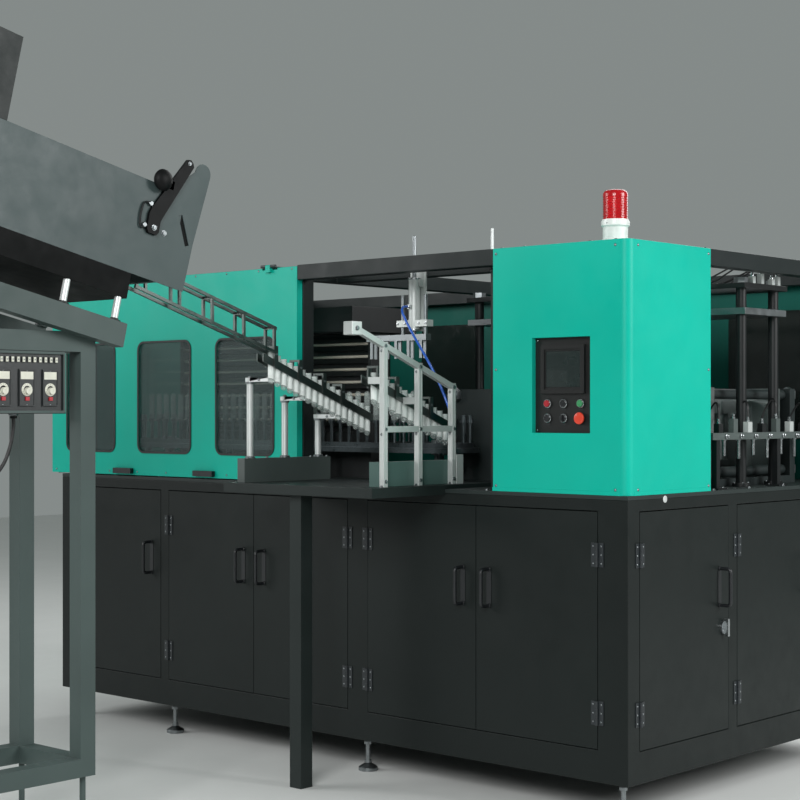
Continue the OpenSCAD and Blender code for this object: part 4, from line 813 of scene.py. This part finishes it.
# Feeder: bolts of the side plates, rubber behind the slot, and the rods that carry the trough
def makeFeeder():
    half = feeder["half"]
    bm = bmesh.new()
    for s in (-1, 1):
        for z in (60, 160, 260):
            addBolt(bm, tilted(s*half, -1344, z), along(tilted, s, 0, 0), 0.0065)
    addBolt(bm, tilted(half, -125, 172), along(tilted, 1, 0, 0), 0.009)
    addPiece("feederBolts", bm, "zinc")

    # Black rubber behind the side plate's slot
    bm = bmesh.new()
    lean = math.radians(28)
    strip = [(u*math.cos(lean)-v*math.sin(lean), u*math.sin(lean)+v*math.cos(lean))
             for u, v in ((-13, -60), (13, -60), (13, 60), (-13, 60))]
    addPlate(bm, [tilted(half-6, -42+u, 207+v) for u, v in strip], along(tilted, 1.8, 0, 0))
    addPiece("slotRubber", bm, "pan")

    # Bright rods under the trough, each with a dark nut and a foot plate
    rod = {"out": 201, "at": (-256, -470, -1220), "foot": -170, "nut": 8, "top": -89}
    bm = bmesh.new()
    for x in (-rod["out"], rod["out"]):
        for y in rod["at"]:
            foot, nut = tilted(x, y, rod["foot"]), tilted(x, y, rod["foot"]+rod["nut"])
            addRod(bm, nut, tilted(x, y, rod["top"]), 0.012, 0, 24)
            addRod(bm, foot, nut, 0.0155, 1, 6)
            addTurned(bm, foot, along(tilted, 0, 0, 1),
                      [(0.0225, -0.004), (0.0225, 0.002), (0.0165, 0.003)], 1, 24)
    addPiece("carryRods", bm, "silver tower")
    print("feeder")


# Lever: cranked blade with its ball, and the thin bent rod on the blade's edge. Its parts are
# placed from its pin, u down the slope and v square to it
def makeLever():
    x0, thick = 215.4, 12

    def pin(x, u, v):
        return tilted(x0+x, -180+u, 174+v)

    out, across = along(tilted, 1, 0, 0), along(tilted, thick, 0, 0)
    bm = bmesh.new()
    blade = [(-20, -22), (16, -22), (24, -10), (24, 30), (126, 256), (120, 268), (108, 277),
             (94, 274), (-22, 64), (-28, 44), (-28, -10)]
    neck = [(-6, 150), (54, 150), (54, 180), (-6, 180)]
    for outline in (blade, neck):
        addPlate(bm, [pin(0, u, v) for u, v in outline], across)
    ball = [(0, 0), (0.015, 0.0012), (0.027, 0.0056), (0.035, 0.013), (0.038, 0.021),
            (0.035, 0.029), (0.027, 0.0364), (0.015, 0.0408), (0, 0.042)]
    addTurned(bm, pin(3.6, -6, 166), out, ball, 0, 36)
    addRod(bm, pin(-4, 0, 0), pin(thick, 0, 0), 0.008, 1, 24)
    addBolt(bm, pin(thick, 0, 0), out, 0.009, 1)
    addBolt(bm, pin(thick, 104, 262), out, 0.006, 1)
    addShape("gateLever", bm, "leverBlack zinc", "gate_lever")
    bm = bmesh.new()
    rod = [pin(6, u, v) for u, v in ((-12, 78), (-56, 80), (-62, 28), (-54, -16), (-26, -2))]
    addSweep(bm, roundPath(rod, 0.02), 0.0036, 0, 10)
    stud = [(0.0085, 0), (0.0085, 0.01), (0.007, 0.0115), (0, 0.0115)]
    for u, v in ((-26, 78), (-38, 0)):
        addTurned(bm, pin(0, u, v), out, stud, 1, 20)
    addPiece("gateSpring", bm, "tower zinc", "gate_lever")
    print("lever")


# Control box: its lighter rim, the speed controllers' faces, row of terminals and cable glands
def makeControlBox():
    x0, y0, pitch = -1200, -1596, 90

    def to(y, x, z):
        return place(x0+x, -y, z)

    dial = [(0.0205, 0), (0.0205, 0.0006), (0.0125, 0.0012), (0.0125, 0)]
    bm = bmesh.new()
    addFrame(bm, to, (-y0, 1503), 296, 198, 6, 8, 0, 2.4, 0)
    for i in range(3):
        y = y0+(1-i)*pitch
        addFrame(bm, to, (-y, 1485), 58, 116, 4, 3, -1, 1, 1)
        addBox(bm, place(x0-1.2, y-24, 1512), place(x0-0.2, y+24, 1536), 2)
        addTurned(bm, place(x0-1, y, 1479), sideward, dial, 2, 36)
        for k in range(11):
            angle = math.radians(-140+28*k)
            at = place(x0-0.3, y+17*math.sin(angle), 1479+17*math.cos(angle))
            addRod(bm, at, at+Vector((0.0007, 0, 0)), 0.0009, 1, 8)
        addBox(bm, place(x0-1, y-7, 1444), place(x0+3.5, y+7, 1456), 3)
        for z in (1430, 1539):
            addScrew(bm, place(x0-1, y, z), sideward, 0.0025, 4)
    for k in range(12):
        y = y0+120-k*21
        addBox(bm, place(x0-2.2, y-10, 1567), place(x0+0.8, y-2, 1583), 2)
        addScrew(bm, place(x0+0.8, y-6, 1575), sideward, 0.0024, 4)
    gland = [(0.0155, 0), (0.0155, 0.006), (0.012, 0.008), (0.0105, 0.0145), (0.007, 0.0155)]
    addTurned(bm, place(boxGland[0], boxGland[1], boxGland[2]+15.5), (0, 0, -1), gland, 4, 24)
    addPiece("controllerFaces", bm, "standGrey controller cream red zinc")
    bm = bmesh.new()
    addTurned(bm, place(*panGland)+Vector((0, 0, -0.0005)), upward,
              [(0.007, 0), (0.0105, 0.001), (0.0122, 0.006), (0.015, 0.008), (0.015, 0.013)], 0, 24)
    addPiece("panGland", bm, "zinc")
    print("control box")


# Infeed: where the aluminium bars and the silver posts stand, along the lanes
standBars = (-297, -108, 82)
silverPosts = (-313, -126, 59)


# Collars and bolts of the posts and rails, clamps of the bars, the loader's fittings
def makeInfeed():
    footCollar = [(0.02, 0), (0.02, 0.006), (0.0175, 0.008), (0.0131, 0.008)]
    headCollar = [(0.0131, 0), (0.0175, 0), (0.0175, 0.008), (0.0131, 0.008)]
    bm = bmesh.new()
    for y in silverPosts:
        top = laneTop(y)-56
        addTurned(bm, place(-1550, y, 1227), upward, footCollar, 0, 28)
        addTurned(bm, place(-1550, y, top-24), upward, headCollar, 0, 28)
        addBolt(bm, place(-1550, y, top), upward, 0.008)
        addBolt(bm, place(-1490, y-10, top-8), frontward, 0.005)
    for y in (-340, -240, 0, 90):
        addBolt(bm, place(-1532, y, 1227), upward, 0.006)
    for y in (-340, -210, -80, 25):
        for s in (-1, 1):
            addBolt(bm, place(-1400+s*27.5, y, laneTop(y)+20), (s, 0, 0), 0.0045)
    for y in (-250, -150, 40):
        for s in (-1, 1):
            addBolt(bm, place(-950+s*27.5, y, laneTop(y, lowLane)+20), (s, 0, 0), 0.0045)
    for y in standBars:
        for z in (1155, 1344, laneTop(y, lowLane)+104):
            addBolt(bm, place(-847, y, z), sideward, 0.006)
            addBolt(bm, place(-858, y-11, z-18), frontward, 0.005)
    addPiece("infeedBolts", bm, "zinc")

    # Black end caps on the aluminium bars, clamp block on the sloping bar
    bm = bmesh.new()
    for y in standBars:
        top = laneTop(y, lowLane)+118
        addBox(bm, place(-868.5, y-10.5, top), place(-847.5, y+10.5, top+2.5))
    roundEdges(bm, 0.0008, 2)
    addPiece("barCaps", bm, "black")
    bm = bmesh.new()
    z = laneTop(-458, lowLane)+100
    addBox(bm, place(-880, -484, z-24), place(-836, -432, z+24))
    roundEdges(bm, 0.003, 3)
    addBolt(bm, place(-836, -458, z), sideward, 0.008, 1)
    addPiece("barClamp", bm, "bar zinc")

    # Thin ribs up both faces of each bar, beside its groove
    bm = bmesh.new()
    for y in standBars:
        top = laneTop(y, lowLane)+90
        for s in (-1, 1):
            addBox(bm, place(-847, y+s*3, 1226), place(-845.8, y+s*8, top))
            addBox(bm, place(-858+s*3, y-12.2, 1226), place(-858+s*8, y-11, top))
    roundEdges(bm, 0.0004, 1)
    addPiece("barRibs", bm, "bar")

    # Fittings: the hose's two ends, rings of the loader's cylinder, bolts of its guide block
    bm = bmesh.new()
    port = [(0.0085, 0), (0.0085, 0.003), (0.007, 0.003), (0.007, 0.009), (0.0056, 0.01)]
    addTurned(bm, place(-1154, 168.5, 1820), frontward, port, 0, 24)
    base = [(0.0105, 0), (0.0105, 0.004), (0.008, 0.004), (0.008, 0.012), (0.0056, 0.013)]
    addTurned(bm, place(-876, 115, 1245), upward, base, 0, 24)
    ring = [(0.0225, -0.003), (0.0262, -0.003), (0.027, 0), (0.0262, 0.003), (0.0225, 0.003)]
    for z in (1729, 1931):
        addTurned(bm, place(-1154, 200, z), upward, ring, 0, 36)
    for s in (-1, 1):
        for x in (36, 74):
            addBolt(bm, place(-1154+s*x, 184, 1755), frontward, 0.005)
    addPiece("loaderFittings", bm, "collar")
    print("infeed")


# Clamp and stretch unit: nuts of the tie bars, cylinder covers and foot bolts
def makeClampDetails():
    tip = [(0.02, 0), (0.02, 0.012), (0.017, 0.015)]
    bm = bmesh.new()
    for x in (190, 1310):
        for z in (1174, 1476):
            for y, s in ((640, -1), (1400, 1)):
                addRod(bm, place(-x, y, z), place(-x, y+s*26, z), 0.032, 0, 6)
                addTurned(bm, place(-x, y+s*26, z), (0, s, 0), tip, 0, 28)
    cover = [(0.066, -0.03), (0.066, 0), (0.06, 0.006), (0, 0.006)]
    for y, s in ((450, -1), (1590, 1)):
        addTurned(bm, place(-750, y, 1320), (0, s, 0), cover, 0, 40)
        for k in range(6):
            a = math.radians(60*k)
            addBolt(bm, place(-750+46*math.cos(a), y+s*6, 1320+46*math.sin(a)), (0, s, 0), 0.006)
    for x in (100, 1400):
        for y in (900, 1140):
            at = place(-x, y, 1900)
            addRod(bm, at, at+Vector((0, 0, 0.022)), 0.028, 0, 6)
            for k in range(4):
                a = math.radians(45+90*k)
                foot = place(-x+27*math.cos(a), y+27*math.sin(a), machine["bed"]+15)
                addBolt(bm, foot, upward, 0.004, 0, False)
    addPiece("clampNuts", bm, "zinc")
    print("clamp")


# Air manifold along the short side's opening: bar on feet, valves of three heights, fittings on
# top, in front and below, and a tube from every second valve
def makeManifold():
    v = {"x": -52, "y0": 600, "y1": 1560, "z": 1316, "deep": 14, "half": 13, "count": 9,
         "pitch": 104, "heights": (34, 52, 40)}
    x, low, high, bed = v["x"], v["z"]-v["half"], v["z"]+v["half"], machine["bed"]
    valves = [(k, v["y0"]+60+k*v["pitch"], v["heights"][k % 3]) for k in range(v["count"])]
    bm = bmesh.new()
    addBox(bm, place(x-v["deep"], v["y0"], low), place(x+v["deep"], v["y1"], high), 0)
    for y in (v["y0"]+40, 1080, v["y1"]-40):
        addBox(bm, place(x-12, y-12, bed), place(x+12, y+12, low), 1)
        addBox(bm, place(x-30, y-30, bed), place(x+30, y+30, bed+6), 1)
        for s in (-1, 1):
            addBolt(bm, place(x+s*20, y+s*20, bed+6), upward, 0.004, 2)
    roundEdges(bm, 0.0008, 1)
    upper = [(0.0075, 0), (0.0075, 0.008), (0.0055, 0.01), (0.0055, 0.018), (0.0045, 0.019)]
    front = [(0.0085, 0), (0.0085, 0.006), (0.006, 0.007), (0.006, 0.014), (0.0045, 0.015)]
    for k, y, tall in valves:
        extra = 0.012*(k % 2)
        lower = [(0.009, 0), (0.009, 0.005), (0.0065, 0.006), (0.0065, 0.06+extra),
                 (0.004, 0.062+extra)]
        addBox(bm, place(x-11, y-15, high+0.1), place(x+11, y+15, high+tall), (1, 0, 3)[k % 3])
        addTurned(bm, place(x, y, high+tall), upward, upper, 2, 16)
        addTurned(bm, place(x+v["deep"], y+30, v["z"]), sideward, front, 2, 16)
        addTurned(bm, place(x, y+38, low), (0, 0, -1), lower, 2, 16)
    addPiece("airManifold", bm, "block tower collar cabinet")
    bend = [(0, 0, -6), (0, 0, 46), (-26, 22, 66), (-60, 26, 24), (-88, 10, -70)]
    bm = bmesh.new()
    for k, y, tall in valves[::2]:
        tube = [place(x+a, y+b, high+18+tall+c) for a, b, c in bend]
        addSweep(bm, roundPath(tube, 0.03), 0.0036, 0, 8)
    addPiece("airTubes", bm, "cable")
    print("manifold")


# Small things: fittings and tubes on the stretch unit's bridge, a rod and a plug
def makeSmallDetails():
    bridge = 1900
    nozzle = [(0.007, 0), (0.007, 0.008), (0.005, 0.01), (0.005, 0.016), (0.004, 0.017)]
    bm = bmesh.new()
    for x, y, tall in ((-70, 930, 26), (-74, 1000, 40), (-68, 1070, 22), (-72, 1120, 34)):
        top = bridge+tall
        addBox(bm, place(x-10, y-10, bridge), place(x+10, y+10, top), 1)
        addTurned(bm, place(x, y, top), upward, nozzle, 0, 16)
        tube = [place(x, y, top+12), place(x, y, top+36), place(x-30, y-60, top+46),
                place(x-140, y-120, bridge+6), place(x-220, y-130, bridge+2)]
        addSweep(bm, roundPath(tube, 0.03), 0.0034, 2, 8)
    addPiece("bridgeFittings", bm, "collar cabinet cable")

    # Rod that holds the air lines up, clamped to the inner beam
    bm = bmesh.new()
    addRod(bm, place(-776, 222, 1940), place(-776, 222, 2104), 0.006, 0, 20)
    addTurned(bm, place(-776, 222, 2104), upward, [(0.006, 0), (0.0045, 0.002), (0, 0.002)], 0, 20)
    addBox(bm, place(-790, 212, 1950), place(-762, 229.8, 1988), 1)
    addBolt(bm, place(-784, 212, 1969), frontward, 0.004, 0)
    addPiece("lineRod", bm, "silver tower")

    # Round plug in the bed's edge
    plug = [(0.0125, 0), (0.0125, 0.0008), (0.0105, 0.0014), (0, 0.0014)]
    bm = bmesh.new()
    addTurned(bm, place(0, 226, 1102), sideward, plug, 0, 28)
    addPiece("bedPlug", bm, "silver")
    print("small details")


makeHousing()
makePanel()
makeBeacon()
makeCovers()
makeBaseDetails()
makeFeeder()
makeLever()
makeControlBox()
makeInfeed()
makeClampDetails()
makeManifold()
makeSmallDetails()


# Floor and light
def makeStudio():
    bm = bmesh.new()
    bmesh.ops.create_grid(bm, x_segments=8, y_segments=8, size=14)
    mesh = bpy.data.meshes.new("floor")
    bm.to_mesh(mesh)
    bm.free()
    mesh.materials.append(mats["floor"])
    floor = bpy.data.objects.new("floor", mesh)
    floor.location.z = -0.0005
    bpy.context.scene.collection.objects.link(floor)
    lights = [
        {"name": "key", "at": (4.5, -6.5, 4.6), "to": (0.6, 0, 1.2), "size": 3.2, "power": 420},
        {"name": "rim", "at": (7, 2.5, 3.8), "to": (1, 0.5, 1.3), "size": 3, "power": 330},
        {"name": "fill", "at": (-5.5, -5, 4.2), "to": (-0.5, 0, 1.2), "size": 4, "power": 250},
        {"name": "back", "at": (-1, 6, 4.5), "to": (0, 0, 1.2), "size": 4, "power": 160},
    ]
    for light in lights:
        data = bpy.data.lights.new(light["name"], "AREA")
        data.size = light["size"]
        data.energy = light["power"]
        lamp = bpy.data.objects.new(light["name"], data)
        lamp.location = light["at"]
        heading = Vector(light["to"])-Vector(light["at"])
        lamp.rotation_euler = heading.to_track_quat("-Z", "Y").to_euler()
        bpy.context.scene.collection.objects.link(lamp)
    world = bpy.data.worlds.new("studio")
    world.use_nodes = True
    sky = world.node_tree.nodes["Background"].inputs
    sky["Color"].default_value = (0.8, 0.88, 0.86, 1)
    sky["Strength"].default_value = 0.29
    bpy.context.scene.world = world
    bpy.context.scene.view_settings.view_transform = "Standard"


makeStudio()
print("studio")
